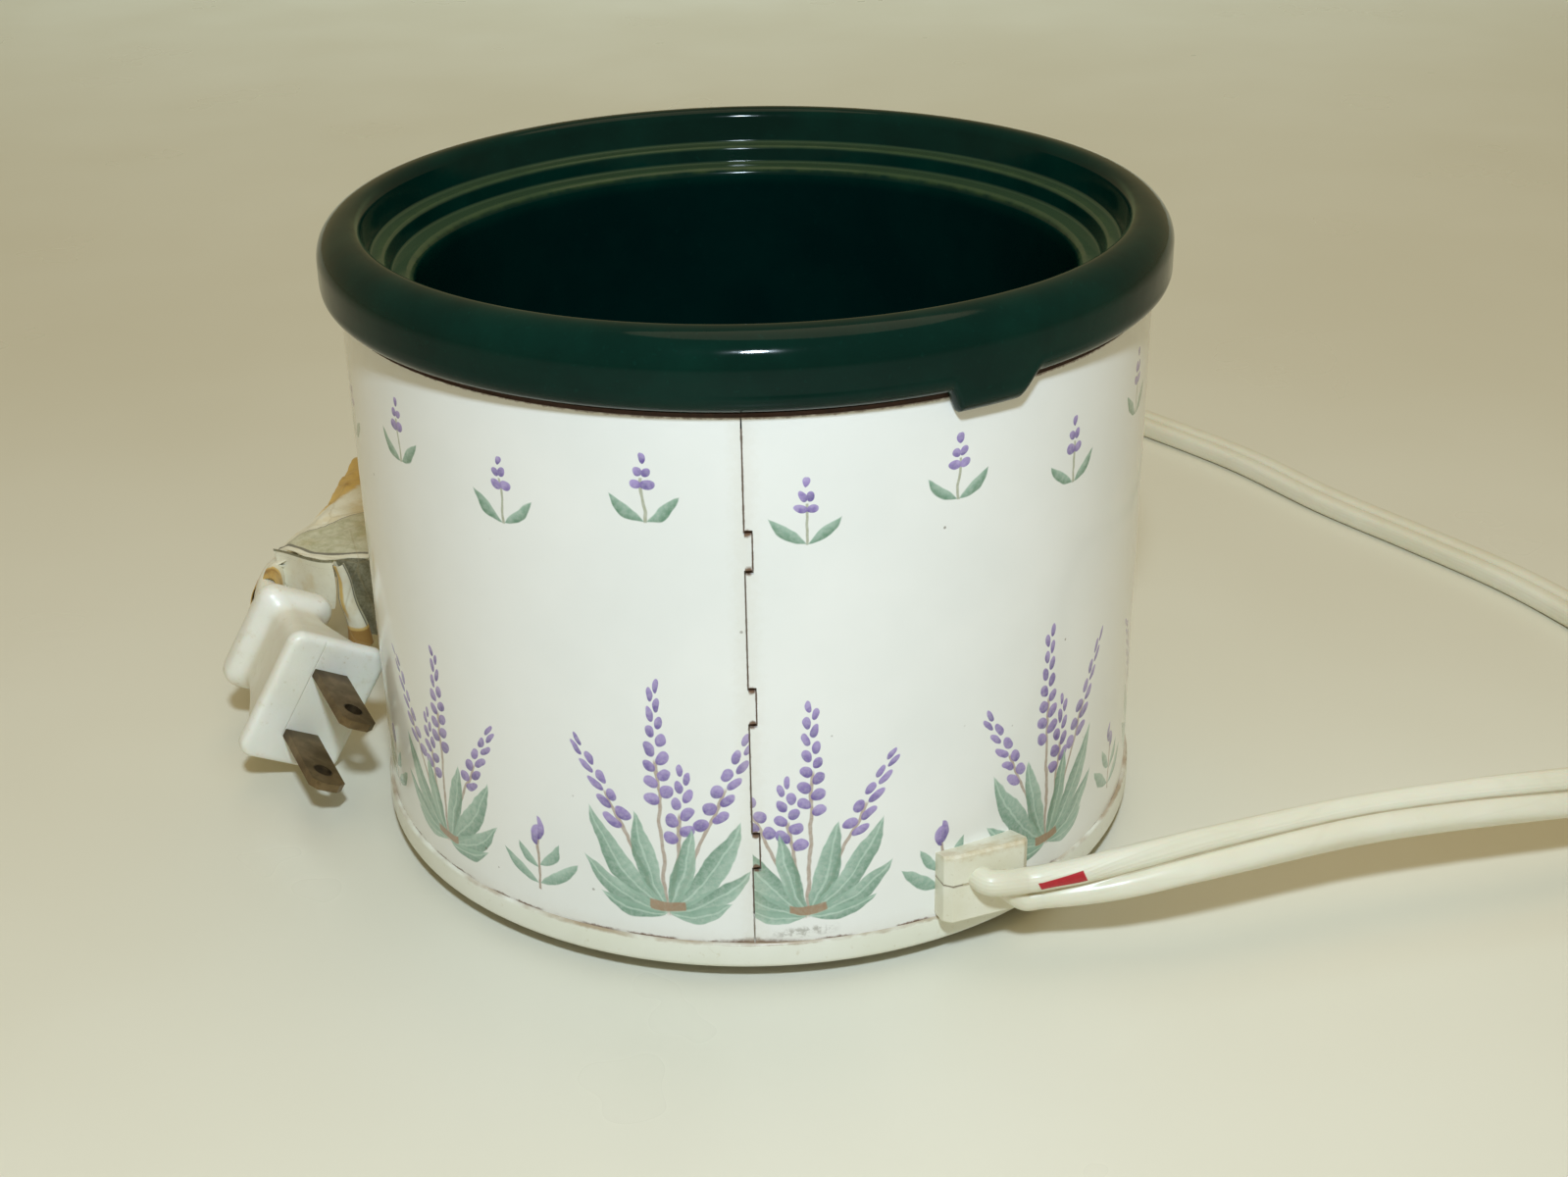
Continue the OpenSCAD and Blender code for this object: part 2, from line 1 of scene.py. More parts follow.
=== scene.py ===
import json
import math

import bmesh
import bpy
import numpy as np
from mathutils import Matrix, Vector


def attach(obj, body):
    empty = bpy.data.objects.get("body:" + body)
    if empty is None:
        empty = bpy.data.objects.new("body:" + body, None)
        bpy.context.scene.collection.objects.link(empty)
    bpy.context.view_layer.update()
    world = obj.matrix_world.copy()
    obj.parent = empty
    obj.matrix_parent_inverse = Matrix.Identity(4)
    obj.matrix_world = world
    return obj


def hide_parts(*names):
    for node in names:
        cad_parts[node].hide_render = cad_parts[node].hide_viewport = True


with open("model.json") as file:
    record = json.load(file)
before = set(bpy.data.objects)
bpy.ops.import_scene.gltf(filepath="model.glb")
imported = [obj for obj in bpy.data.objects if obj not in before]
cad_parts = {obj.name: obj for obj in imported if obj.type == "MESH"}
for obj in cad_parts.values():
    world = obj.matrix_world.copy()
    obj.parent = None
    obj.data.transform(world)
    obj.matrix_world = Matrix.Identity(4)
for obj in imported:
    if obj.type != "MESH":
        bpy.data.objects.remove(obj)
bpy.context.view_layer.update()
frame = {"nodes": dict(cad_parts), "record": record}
NODE = frame["nodes"]
scene = bpy.context.scene
sin, cos, pi = math.sin, math.cos, math.pi
rad = math.radians


# ---------------------------------------------------------------- camera
def add_camera():
    pitch, yaw, roll = rad(25.95), rad(0.875), rad(-1.05)
    fwd = Vector((sin(yaw) * cos(pitch), cos(yaw) * cos(pitch), -sin(pitch)))
    right = Vector((cos(yaw), -sin(yaw), 0))
    up = right.cross(fwd)
    r2 = right * cos(roll) + up * sin(roll)
    u2 = up * cos(roll) - right * sin(roll)
    cam = bpy.data.cameras.new("camera")
    cam.sensor_width, cam.sensor_fit, cam.lens = 36.0, "HORIZONTAL", 48.18
    cam.clip_start, cam.clip_end = 0.01, 50
    ob = bpy.data.objects.new("camera", cam)
    m = Matrix((r2, u2, -fwd)).transposed().to_4x4()
    m.translation = (0, -0.3286, 0.1954)
    ob.matrix_world = m
    scene.collection.objects.link(ob)
    scene.camera = ob


add_camera()


# ---------------------------------------------------------------- mesh helpers (millimetres)
def build(name, verts, faces, sharp=None, attrs=None, fix=True):
    me = bpy.data.meshes.new(name)
    me.from_pydata([(x / 1000, y / 1000, z / 1000) for x, y, z in verts], [], faces)
    me.update()
    if fix:
        bm = bmesh.new()
        bm.from_mesh(me)
        bmesh.ops.recalc_face_normals(bm, faces=bm.faces)
        bm.to_mesh(me)
        bm.free()
    for key, values in (attrs or {}).items():
        a = me.attributes.new(key, "FLOAT", "POINT")
        a.data.foreach_set("value", [float(v) for v in values])
    me.polygons.foreach_set("use_smooth", [True] * len(me.polygons))
    if sharp:
        me.set_sharp_from_angle(angle=rad(sharp))
    ob = bpy.data.objects.new(name, me)
    scene.collection.objects.link(ob)
    return ob


def arc(cx, cy, r, a0, a1, n=8):
    return [(cx + r * cos(rad(a0 + (a1 - a0) * i / n)), cy + r * sin(rad(a0 + (a1 - a0) * i / n)))
            for i in range(n + 1)]


def rounded(points, n=6):
    """A polyline of (x, y, radius) with its corners rounded."""
    out = []
    for i, (x, y, r) in enumerate(points):
        if not r or i in (0, len(points) - 1):
            out.append((x, y))
            continue
        p = Vector((x, y))
        a = (Vector(points[i - 1][:2]) - p).normalized()
        b = (Vector(points[i + 1][:2]) - p).normalized()
        half = a.angle(b) / 2
        d = r / math.tan(half)
        c = p + (a + b).normalized() * (r / sin(half))
        s, e = p + a * d - c, p + b * d - c
        turn = s.angle(e)
        sign = 1 if s.x * e.y - s.y * e.x > 0 else -1
        for k in range(n + 1):
            t = sign * turn * k / n
            out.append((c.x + s.x * cos(t) - s.y * sin(t), c.y + s.x * sin(t) + s.y * cos(t)))
    return out


def revolve(prof, az, drop=None, wave=None, closed=False):
    """Turns (r, z) points about the axis; drop(j, az) lowers a point, wave(j, az) widens it."""
    verts, rows = [], []
    poles = {}
    for j, (r, z) in enumerate(prof):
        if r < 1e-6:
            poles[j] = len(verts)
            verts.append((0, 0, z))
    for a in az:
        row = []
        for j, (r, z) in enumerate(prof):
            if j in poles:
                row.append(poles[j])
                continue
            rr = r + (wave(j, a) if wave else 0)
            row.append(len(verts))
            verts.append((rr * cos(rad(a)), rr * sin(rad(a)), z - (drop(j, a) if drop else 0)))
        rows.append(row)
    faces = []
    m = len(prof)
    for i in range(len(az)):
        p, q = rows[i], rows[(i + 1) % len(az)]
        for j in range(m if closed else m - 1):
            k = (j + 1) % m
            f = [p[j], q[j], q[k], p[k]]
            f = [v for n, v in enumerate(f) if v not in f[:n]]
            if len(f) > 2:
                faces.append(f)
    return verts, faces


def shell(ss, zs, keep, outer, inner, at):
    """A bent sheet: a grid of cells over (s, z), those that keep(s, z) allows, with its cut edges closed."""
    verts, faces, idx = [], [], {}

    def vid(i, j, side):
        if (i, j, side) not in idx:
            idx[i, j, side] = len(verts)
            r = (outer if side else inner)(ss[i], zs[j])
            verts.append(at(ss[i], zs[j], r))
        return idx[i, j, side]

    ok = {(i, j) for i in range(len(ss) - 1) for j in range(len(zs) - 1)
          if keep((ss[i] + ss[i + 1]) / 2, (zs[j] + zs[j + 1]) / 2)}
    for i, j in ok:
        faces.append([vid(i, j, 1), vid(i + 1, j, 1), vid(i + 1, j + 1, 1), vid(i, j + 1, 1)])
        faces.append([vid(i, j + 1, 0), vid(i + 1, j + 1, 0), vid(i + 1, j, 0), vid(i, j, 0)])
        for di, dj, a, b in ((-1, 0, (i, j + 1), (i, j)), (1, 0, (i + 1, j), (i + 1, j + 1)),
                             (0, -1, (i, j), (i + 1, j)), (0, 1, (i + 1, j + 1), (i, j + 1))):
            if (i + di, j + dj) not in ok:
                faces.append([vid(*a, 0), vid(*b, 0), vid(*b, 1), vid(*a, 1)])
    return verts, faces


def merge(*parts):
    verts, faces = [], []
    for v, f in parts:
        n = len(verts)
        verts += v
        faces += [[k + n for k in q] for q in f]
    return verts, faces


def loft(rings, cap=True):
    n = len(rings[0])
    verts = [p for r in rings for p in r]
    faces = [[i * n + j, i * n + (j + 1) % n, (i + 1) * n + (j + 1) % n, (i + 1) * n + j]
             for i in range(len(rings) - 1) for j in range(n)]
    if cap:
        faces.append(list(range(n - 1, -1, -1)))
        faces.append([(len(rings) - 1) * n + j for j in range(n)])
    return verts, faces


def spline(points, k):
    """A smooth curve through rows of numbers, k steps from each to the next."""
    p = np.array(points, float)
    out = []
    for i in range(len(p) - 1):
        a = p[i - 1] if i else 2 * p[0] - p[1]
        d = p[i + 2] if i + 2 < len(p) else 2 * p[i + 1] - p[i]
        b, c = p[i], p[i + 1]
        for j in range(k):
            t = j / k
            out.append(0.5 * (2 * b + (c - a) * t + (2 * a - 5 * b + 4 * c - d) * t * t
                              + (3 * b - a - 3 * c + d) * t ** 3))
    out.append(p[-1])
    return np.array(out)


def unit(v):
    v = np.asarray(v, float)
    return v / np.linalg.norm(v)


def smoothstep(x, a, b):
    t = min(1.0, max(0.0, (x - a) / (b - a)))
    return t * t * (3 - 2 * t)


# ---------------------------------------------------------------- material helpers
def lin(r, g, b):
    f = lambda c: c / 12.92 if c <= 0.04045 else ((c + 0.055) / 1.055) ** 2.4
    return (f(r / 255), f(g / 255), f(b / 255), 1.0)


class N:
    """A number in a material's graph."""

    def __init__(self, g, s):
        self.g, self.s = g, s

    def __add__(self, o):
        return self.g.f("ADD", self, o)

    __radd__ = __add__

    def __sub__(self, o):
        return self.g.f("SUBTRACT", self, o)

    def __rsub__(self, o):
        return self.g.f("SUBTRACT", o, self)

    def __mul__(self, o):
        return self.g.f("MULTIPLY", self, o)

    __rmul__ = __mul__

    def __truediv__(self, o):
        return self.g.f("DIVIDE", self, o)

    def __neg__(self):
        return self.g.f("MULTIPLY", self, -1.0)

    def __abs__(self):
        return self.g.f("ABSOLUTE", self)


class G:
    """A material, with its place on the object in millimetres."""

    def __init__(self, name, **constants):
        self.m = bpy.data.materials.new(name)
        self.m.use_nodes = True
        self.t = self.m.node_tree
        self.t.nodes.clear()
        self.b = self.new("ShaderNodeBsdfPrincipled")
        out = self.new("ShaderNodeOutputMaterial")
        self.t.links.new(self.b.outputs[0], out.inputs["Surface"])
        tc = self.new("ShaderNodeTexCoord")
        sc = self.new("ShaderNodeVectorMath", operation="SCALE")
        sc.inputs["Scale"].default_value = 1000.0
        self.t.links.new(tc.outputs["Object"], sc.inputs[0])
        self.mm = sc.outputs[0]
        sp = self.new("ShaderNodeSeparateXYZ")
        self.t.links.new(self.mm, sp.inputs[0])
        self.x, self.y, self.z = [N(self, s) for s in sp.outputs]
        for key, v in constants.items():
            self.set(key, v)

    def new(self, kind, **props):
        n = self.t.nodes.new(kind)
        for k, v in props.items():
            setattr(n, k, v)
        return n

    def put(self, v, sock):
        if isinstance(v, N):
            self.t.links.new(v.s, sock)
        elif isinstance(v, bpy.types.NodeSocket):
            self.t.links.new(v, sock)
        else:
            sock.default_value = v

    NAMES = {"color": "Base Color", "rough": "Roughness", "metal": "Metallic", "coat": "Coat Weight",
             "coat_rough": "Coat Roughness", "ior": "IOR", "spec": "Specular IOR Level", "normal": "Normal",
             "coat_normal": "Coat Normal", "sss": "Subsurface Weight", "sss_scale": "Subsurface Scale",
             "sss_radius": "Subsurface Radius", "sheen": "Sheen Weight"}

    def set(self, key, v):
        self.put(v, self.b.inputs[self.NAMES[key]])

    def f(self, op, *a):
        n = self.new("ShaderNodeMath", operation=op)
        for k, v in enumerate(a):
            self.put(v, n.inputs[k])
        return N(self, n.outputs[0])

    def madd(self, a, b, c):
        return self.f("MULTIPLY_ADD", a, b, c)

    def step(self, x, lo, hi, a=0.0, b=1.0):
        """a below lo, b above hi, eased between; lo over hi runs the other way."""
        if lo > hi:
            lo, hi, a, b = hi, lo, b, a
        n = self.new("ShaderNodeMapRange", interpolation_type="SMOOTHSTEP", clamp=True)
        for k, v in enumerate((x, lo, hi, a, b)):
            self.put(v, n.inputs[k])
        return N(self, n.outputs[0])

    def vec(self, x, y, z=0.0):
        n = self.new("ShaderNodeCombineXYZ")
        for k, v in enumerate((x, y, z)):
            self.put(v, n.inputs[k])
        return n.outputs[0]

    def noise(self, size, detail=3.0, rough=0.55, vec=None, dist=0.0, colour=False):
        """Noise whose features are about size millimetres."""
        n = self.new("ShaderNodeTexNoise")
        self.t.links.new(vec or self.mm, n.inputs["Vector"])
        n.inputs["Scale"].default_value = 1.0 / size
        n.inputs["Detail"].default_value = detail
        n.inputs["Roughness"].default_value = rough
        n.inputs["Distortion"].default_value = dist
        if colour:
            s = self.new("ShaderNodeSeparateColor")
            self.t.links.new(n.outputs["Color"], s.inputs[0])
            return [N(self, o) for o in s.outputs]
        return N(self, n.outputs["Fac"] if "Fac" in n.outputs else n.outputs[0])

    def cells(self, size, feature="F1", vec=None):
        n = self.new("ShaderNodeTexVoronoi", feature=feature)
        self.t.links.new(vec or self.mm, n.inputs["Vector"])
        n.inputs["Scale"].default_value = 1.0 / size
        return N(self, n.outputs["Distance"])

    def attr(self, name):
        n = self.new("ShaderNodeAttribute", attribute_name=name, attribute_type="GEOMETRY")
        return N(self, n.outputs["Fac"])

    def mix(self, fac, a, b):
        n = self.new("ShaderNodeMix", data_type="RGBA")
        ins = {s.identifier: s for s in n.inputs}
        self.put(fac, ins["Factor_Float"])
        self.put(a, ins["A_Color"])
        self.put(b, ins["B_Color"])
        return [s for s in n.outputs if s.identifier == "Result_Color"][0]

    def bump(self, height, mm, strength=1.0, normal=None):
        n = self.new("ShaderNodeBump")
        n.inputs["Strength"].default_value = strength
        n.inputs["Distance"].default_value = mm / 1000
        self.put(height, n.inputs["Height"])
        if normal:
            self.t.links.new(normal, n.inputs["Normal"])
        return n.outputs[0]

    def dusty(self, base, dark, light, big=18.0, small=1.2):
        """A colour with broad clouds and fine specks."""
        c = self.mix(self.step(self.noise(big, 4), 0.35, 0.7), base, light)
        return self.mix(self.step(self.noise(small, 2), 0.62, 0.85, 0.0, 0.5), c, dark)


def paint(ob, g):
    ob.data.materials.clear()
    ob.data.materials.append(g.m)
    return ob


def put_in(ob, body, slot, *nodes):
    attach(ob, body)
    if nodes:
        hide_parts(*nodes)
    return ob


def bevel(ob, mm, angle=30, segments=3):
    m = ob.modifiers.new("edges", "BEVEL")
    m.width, m.segments, m.limit_method = mm / 1000, segments, "ANGLE"
    m.angle_limit, m.harden_normals = rad(angle), False
    m.use_clamp_overlap = True
    return ob


# ---------------------------------------------------------------- plug's place
def rot(axis, deg):
    return np.array(Matrix.Rotation(rad(deg), 3, axis))


PLUG_R = rot("Z", 15) @ rot("Y", -60) @ rot("X", -77)
PLUG_P = np.array([-78.7, -0.6, 14.9])


def plug_at(x, y, z):
    return tuple(PLUG_P + PLUG_R @ np.array([x, y, z], float))


# strain relief's place: outward, across and up
BLK = rad(-70)
E_N, E_U = np.array([cos(BLK), sin(BLK), 0]), np.array([-sin(BLK), cos(BLK), 0])
E_Z = np.array([0, 0, 1.0])


def blk(n, u, z):
    return E_N * n + E_U * u + E_Z * z


# ---------------------------------------------------------------- lead
CORD_W, CORD_T = 8.0, 4.1
E1, E0 = plug_at(0, 0, 34), plug_at(0, 0, 28)
ROUTE = [(42.5, -60.5, 13, 104), (49.5, -60.1, 13.7, 89), (57, -59.3, 14.8, 66), (70, -56.4, 15.9, 42),
         (92.5, -49.6, 16.3, 25), (111.4, -45.5, 16.3, 29), (130, -41.6, 15.6, 45), (147, -36.3, 13.4, 40),
         (161.5, -27, 10.2, 28), (171.5, -12.5, 6.8, 15), (175.5, 5, 4.2, 6), (173.5, 25, 2.8, 0),
         (167.3, 45, 2.2, 0), (158.2, 65, 2.1, 0), (144.8, 86, 2.1, 0), (130.8, 107, 2.1, 0), (117, 132, 2.1, 0),
         (101, 154, 2.1, 0), (88, 170, 2.1, 0), (71, 181, 2.1, 0), (51, 183, 2.1, 0),
         (32, 177, 2.1, 0), (15, 165, 2.1, 0), (1, 149, 2.1, 0), (-12, 131, 2.1, 0),
         (-26, 114, 2.1, 0), (-36.5, 104, 2.1, 0), (-48, 94.5, 2.4, 3), (-60, 85.5, 3.8, 10),
         (-71.2, 77, 6.8, 22), (-80, 69, 10.9, 38), (-86.6, 61, 14.6, 55), (-91.4, 53, 17.2, 70),
         (-93.6, 45, 18.7, 77), (-94.3, 37.2, 19.0, 72),
         (*E1, 60), (*E0, 60)]


def soft(v, k):
    return math.copysign(abs(v) ** k, v)


def cord_section(k):
    """Two cores side by side with a web between them: (x, y) points. k = 1 is round, less is squarer."""
    half = rad(149)
    lobe = []
    for i in range(25):
        a = half * (2 * i / 24 - 1)
        lobe.append((CORD_W / 4 * (1 + soft(cos(a), k)), CORD_T / 2 * soft(sin(a), k)))
    left = [(-x, -y) for x, y in lobe]
    return lobe + [(0.1, 0.95), (-0.1, 0.95)] + left + [(-0.1, -0.95), (0.1, -0.95)]


def square(arc):
    """The cores are round where the lead is bent hard, and flat-sided further on."""
    return 1.0 - 0.3 * smoothstep(arc, 5, 24)


SEC = cord_section(1.0)


def cord_rings(centres, rolls, tangents, arcs):
    rings = []
    for c, roll, t, a in zip(centres, rolls, tangents, arcs):
        h = unit(np.cross(E_Z, t))
        v = np.cross(t, h)
        k, s = cos(rad(roll)), sin(rad(roll))
        rings.append([tuple(c + (h * k + v * s) * x + (v * k - h * s) * y) for x, y in cord_section(square(a))])
    return rings


def tangents(p):
    t = np.gradient(p, axis=0)
    return t / np.linalg.norm(t, axis=1)[:, None]


def along(p):
    return np.concatenate([[0], np.cumsum(np.linalg.norm(np.diff(p, axis=0), axis=1))])


def cord_attrs(arcs):
    n = len(arcs)
    return {"arc": [a for a in arcs for _ in SEC], "sx": [x for _ in range(n) for x, y in SEC],
            "sy": [y for _ in range(n) for x, y in SEC]}


def make_cord():
    path = spline(ROUTE, 10)
    centres, rolls = path[:, :3], path[:, 3]
    t = tangents(centres)
    arcs = along(centres)
    rings = cord_rings(centres, rolls, t, arcs)
    v, f = loft(rings)
    ob = build("mains_lead", v, f, attrs=cord_attrs(arcs), sharp=70)
    return ob, centres, t[0], float(arcs[-1])


CORD, CORD_PATH, CORD_T0, CORD_LEN = make_cord()


def make_elbow():
    """The two cores leave the strain relief side by side; the left one swings over the other as they turn right."""
    end = np.array(ROUTE[0][:3], float)
    h = unit(np.cross(E_Z, CORD_T0))
    up = np.cross(CORD_T0, h)
    roll = rad(ROUTE[0][3])
    across = h * cos(roll) + up * sin(roll)
    over = [(65.5, 10.2, 15.5), (67.5, 10.2, 15.5), (69.2, 10.25, 15.5), (70.5, 10.9, 15.42), (71.0, 12.3, 15.25),
            (71.15, 14.6, 14.95)]
    under = [(65.5, 13.9, 14.6), (67.5, 13.9, 14.5), (68.9, 14.0, 14.0), (69.65, 14.9, 12.8), (69.95, 16.1, 11.7)]
    verts, faces, marks = [], [], {"arc": [], "sx": [], "sy": []}
    r = CORD_W / 4
    for side, points in ((r, over), (-r, under)):
        last = end + across * side
        c = spline([blk(*q) for q in points] + [last - CORD_T0 * 2.2, last], 7)
        t = tangents(c)
        t[-1] = CORD_T0
        arcs = along(c)
        rings = []
        for q, d, a in zip(c, t, arcs - arcs[-1]):
            e1 = unit(across - d * (across @ d))
            e2 = np.cross(e1, d) * -1
            ring = []
            for k in range(28):
                f = 2 * pi * k / 28
                ring.append(tuple(q + e1 * r * cos(f) + e2 * CORD_T / 2 * sin(f)))
                marks["arc"].append(a)
                marks["sx"].append(side + r * cos(f))
                marks["sy"].append(CORD_T / 2 * sin(f))
            rings.append(ring)
        verts, faces = merge((verts, faces), loft(rings))
    return build("lead_elbow", verts, faces, attrs=marks, sharp=70)


ELBOW = make_elbow()


# ---------------------------------------------------------------- crock
LUG_AZ, SEAM_AZ = -59.6, -91.2


def lug_s(a, r=66.5):
    return r * rad((a - LUG_AZ + 180) % 360 - 180)


def lug_drop(a):
    """Depth of the locating lug: a steep end on the left, a rounder one on the right."""
    s = lug_s(a)
    return 3.2 * smoothstep(s, -7.4, -5.5) * (1 - smoothstep(s, 3.9, 8.1))


def make_crock():
    low = rounded([(0, 26.4, 0), (44.6, 26.4, 0.9), (46.2, 25.0, 0.9), (55.4, 25.0, 4.4), (56.2, 93.75, 0.7),
                   (61.4, 93.75, 0)], 6)
    i_key = len(low)
    prof = low + [(61.5, 93.75), (61.6, 93.75), (65.2, 93.75), (65.28, 93.75)]
    i_lug = len(prof)
    prof += arc(65.36, 96.25, 2.44, -90, 0, 9)
    i_up = len(prof)
    rise = [(67.8, 96.25 + 2.2 * k / 6) for k in range(1, 7)]
    prof += rise
    i_top = len(prof)
    prof += arc(62.8, 100, 5, 0, 90, 14)
    prof += rounded([(62.9, 105, 0), (60.8, 105, 2.1), (59.85, 99.0, 0.7), (57.2, 99.0, 0.8), (56.85, 96.0, 0.6),
                     (53.0, 96.0, 1.5), (52.6, 87, 0), (51.4, 32, 9.0), (20, 32, 0), (0, 32, 0)], 7)[1:]
    az = sorted([i * 1.0 - 180 for i in range(360) if abs(lug_s(i * 1.0 - 180)) > 10.2]
                + [LUG_AZ + d * 0.2 for d in range(-42, 43)])

    def drop(j, a):
        if i_key + 1 <= j < i_key + 3:
            s = lug_s(a, 63.5)
            return 2.85 * smoothstep(s, -4.5, -4.1) * (1 - smoothstep(s, 4.1, 4.5))
        if i_lug <= j < i_up:
            return lug_drop(a)
        if i_up <= j < i_top:
            return lug_drop(a) * (1 - (j - i_up + 1) / 6)
        return 0

    def wave(j, a):
        if j < i_up:
            return 0
        z = prof[j][1]
        k = 0.10 if z > 93 else 0.05
        return k * (0.5 * sin(rad(2 * a + 40)) + 0.35 * sin(rad(5 * a + 10 + 3 * z)) + 0.25 * sin(rad(11 * a + z * 9)))

    v, f = revolve(prof, az, drop, wave)
    return build("glazed_crock", v, f)


CROCK = make_crock()


# ---------------------------------------------------------------- sleeve
TABS = [(20.9, 26.7), (45.4, 51.0), (69.9, 75.7)]
SR, ST = 65.0, 0.5
GIRTH = 2 * pi * SR


def sleeve_at(s, z, r):
    a = rad(SEAM_AZ) + s / SR
    return (r * cos(a), r * sin(a), z)


def sleeve_out(s, z):
    """The sheet isn't quite round: shallow flats, and it springs out a little at the seam."""
    a = s / SR
    d = max(0, min(s, GIRTH - s))
    dip = 0.16 * max(0, s - GIRTH)
    return SR - dip + 0.06 * sin(3 * a + 0.6) + 0.05 * sin(7 * a + z * 0.03) + 0.05 * sin(z * 0.07 + 2 * a) \
        + 0.10 * math.exp(-d / 7) * (0.6 + 0.4 * sin(z * 0.11))


def make_sleeve():
    lug = SR * rad(LUG_AZ - SEAM_AZ)
    hole = (30.3, 40.4)
    ss = {0.11, 0.4, 0.75, 1.2, 1.65, 2.4, 3.6, 5.4, GIRTH - 0.11, GIRTH - 0.6, GIRTH - 1.5, GIRTH - 3, GIRTH - 5,
          GIRTH + 0.2, GIRTH + 0.6, GIRTH + 0.85, GIRTH + 1.02, lug - 5, lug + 5, *hole}
    s = 7.4
    while s < GIRTH - 6:
        if all(abs(s - k) > 0.5 for k in ss):
            ss.add(s)
        s += 1.7
    zs = {7.4, 7.65, 8.2, 10.2, 17.6, 90.25, 92.5, 92.85}
    for a, b in TABS:
        zs |= {a - 0.45, a, a + 0.14, a + 0.45, b - 0.45, b - 0.14, b, b + 0.45}
    z = 9.2
    while z < 90:
        if all(abs(z - k) > 0.6 for k in zs):
            zs.add(z)
        z += 2.4

    def keep(s, z):
        if s > GIRTH - 0.11:
            return any(a + 0.14 < z < b - 0.14 for a, b in TABS)
        if s < 1.2 and any(a < z < b for a, b in TABS):
            return False
        if 0.11 < s < 1.2 and any(abs(z - e) < 0.45 for t in TABS for e in t):
            return False
        if abs(s - lug) < 5 and z > 90.25:
            return False
        return not (hole[0] < s < hole[1] and 10.2 < z < 17.6)

    parts = [shell(sorted(ss), sorted(zs), keep, sleeve_out, lambda s, z: sleeve_out(s, z) - ST, sleeve_at)]
    yes = lambda s, z: True
    # the lap under the seam
    parts.append(shell([-3 + 0.75 * k for k in range(13)], [12.6, 30, 50, 70, 90.8], yes,
                       lambda s, z: 64.36, lambda s, z: 63.9, sleeve_at))
    v, f = merge(*parts)
    return build("printed_sleeve", v, f, sharp=40)


SLEEVE = make_sleeve()


# ---------------------------------------------------------------- base ring
def make_ring():
    prof = rounded([(62.0, 2.8, 0), (65.6, 2.8, 1.1), (65.6, 5.2, 0), (65.55, 7.4, 0.45), (64.4, 7.4, 0.1),
                    (64.4, 9.0, 0), (64.4, 12.0, 0.3), (62.4, 12.0, 0.3), (62.4, 9.0, 0), (62.4, 8.2, 0.1),
                    (57.0, 8.2, 0.2), (57.0, 6.2, 0.2), (62.0, 6.2, 0.1)], 5)

    def drop(j, a):
        r, z = prof[j]
        d = (a + 60 + 180) % 360 - 180
        return max(0, z - 8.9) if abs(d) < 8.5 and z > 8.95 else 0

    az = sorted([-180 + i for i in range(360)] + [-51.5 + 0.01, -68.5 - 0.01])
    v, f = revolve(prof, az, drop, closed=True)
    return build("base_band", v, f, sharp=50)


RING = make_ring()


# ---------------------------------------------------------------- strain relief
def make_block(name, z0, z1, ch0, ch1, lean=0.0):
    """One half of the chamfered block; its back follows the sleeve, its top may slope down towards it."""
    u0, u1, n1, c = 4.5, 18.6, 69.06, 1.1
    levels = [(z0, ch0), (z0 + ch0, 0.0)] + [(z0 + (z1 - z0) * k, 0.0) for k in (0.3, 0.5, 0.7)] \
        + [(z1 - ch1, 0.0), (z1, ch1)]
    rings = []
    for z, d in levels:
        n = n1 - d
        front = rounded([(64.0, u0, 0), (n - c, u0, 0.25), (n, u0 + c, 0.25), (n, u1 - c, 0.25), (n - c, u1, 0.25),
                         (64.0, u1, 0)], 3)[1:-1]
        back = []
        for k in range(15):
            u = u1 + (u0 - u1) * k / 14
            back.append((math.sqrt(65.0 ** 2 - u * u) - 0.25, u))
        fall = lean * smoothstep(z, z0 + 1.0, z1)
        rings.append([tuple(blk(p, q, z - fall * (n1 - p))) for p, q in front + back])
    ob = build(name, *loft(rings), sharp=25)
    return bevel(ob, 0.22, 25, 3)


BLOCK_UP = make_block("strain_relief_upper", 15.05, 20.5, 0.12, 0.5, 0.34)
BLOCK_LOW = make_block("strain_relief_lower", 8.2, 14.95, 0.4, 0.12)


# ---------------------------------------------------------------- plug
def super_ring(hx, hy, r, n=12):
    """A rectangle with round corners, as points around it."""
    out = []
    for cx, cy, a0 in ((1, 1, 0), (-1, 1, 90), (-1, -1, 180), (1, -1, 270)):
        for k in range(n + 1):
            a = rad(a0 + 90 * k / n)
            out.append((cx * (hx - r) + r * cos(a), cy * (hy - r) + r * sin(a)))
    return out


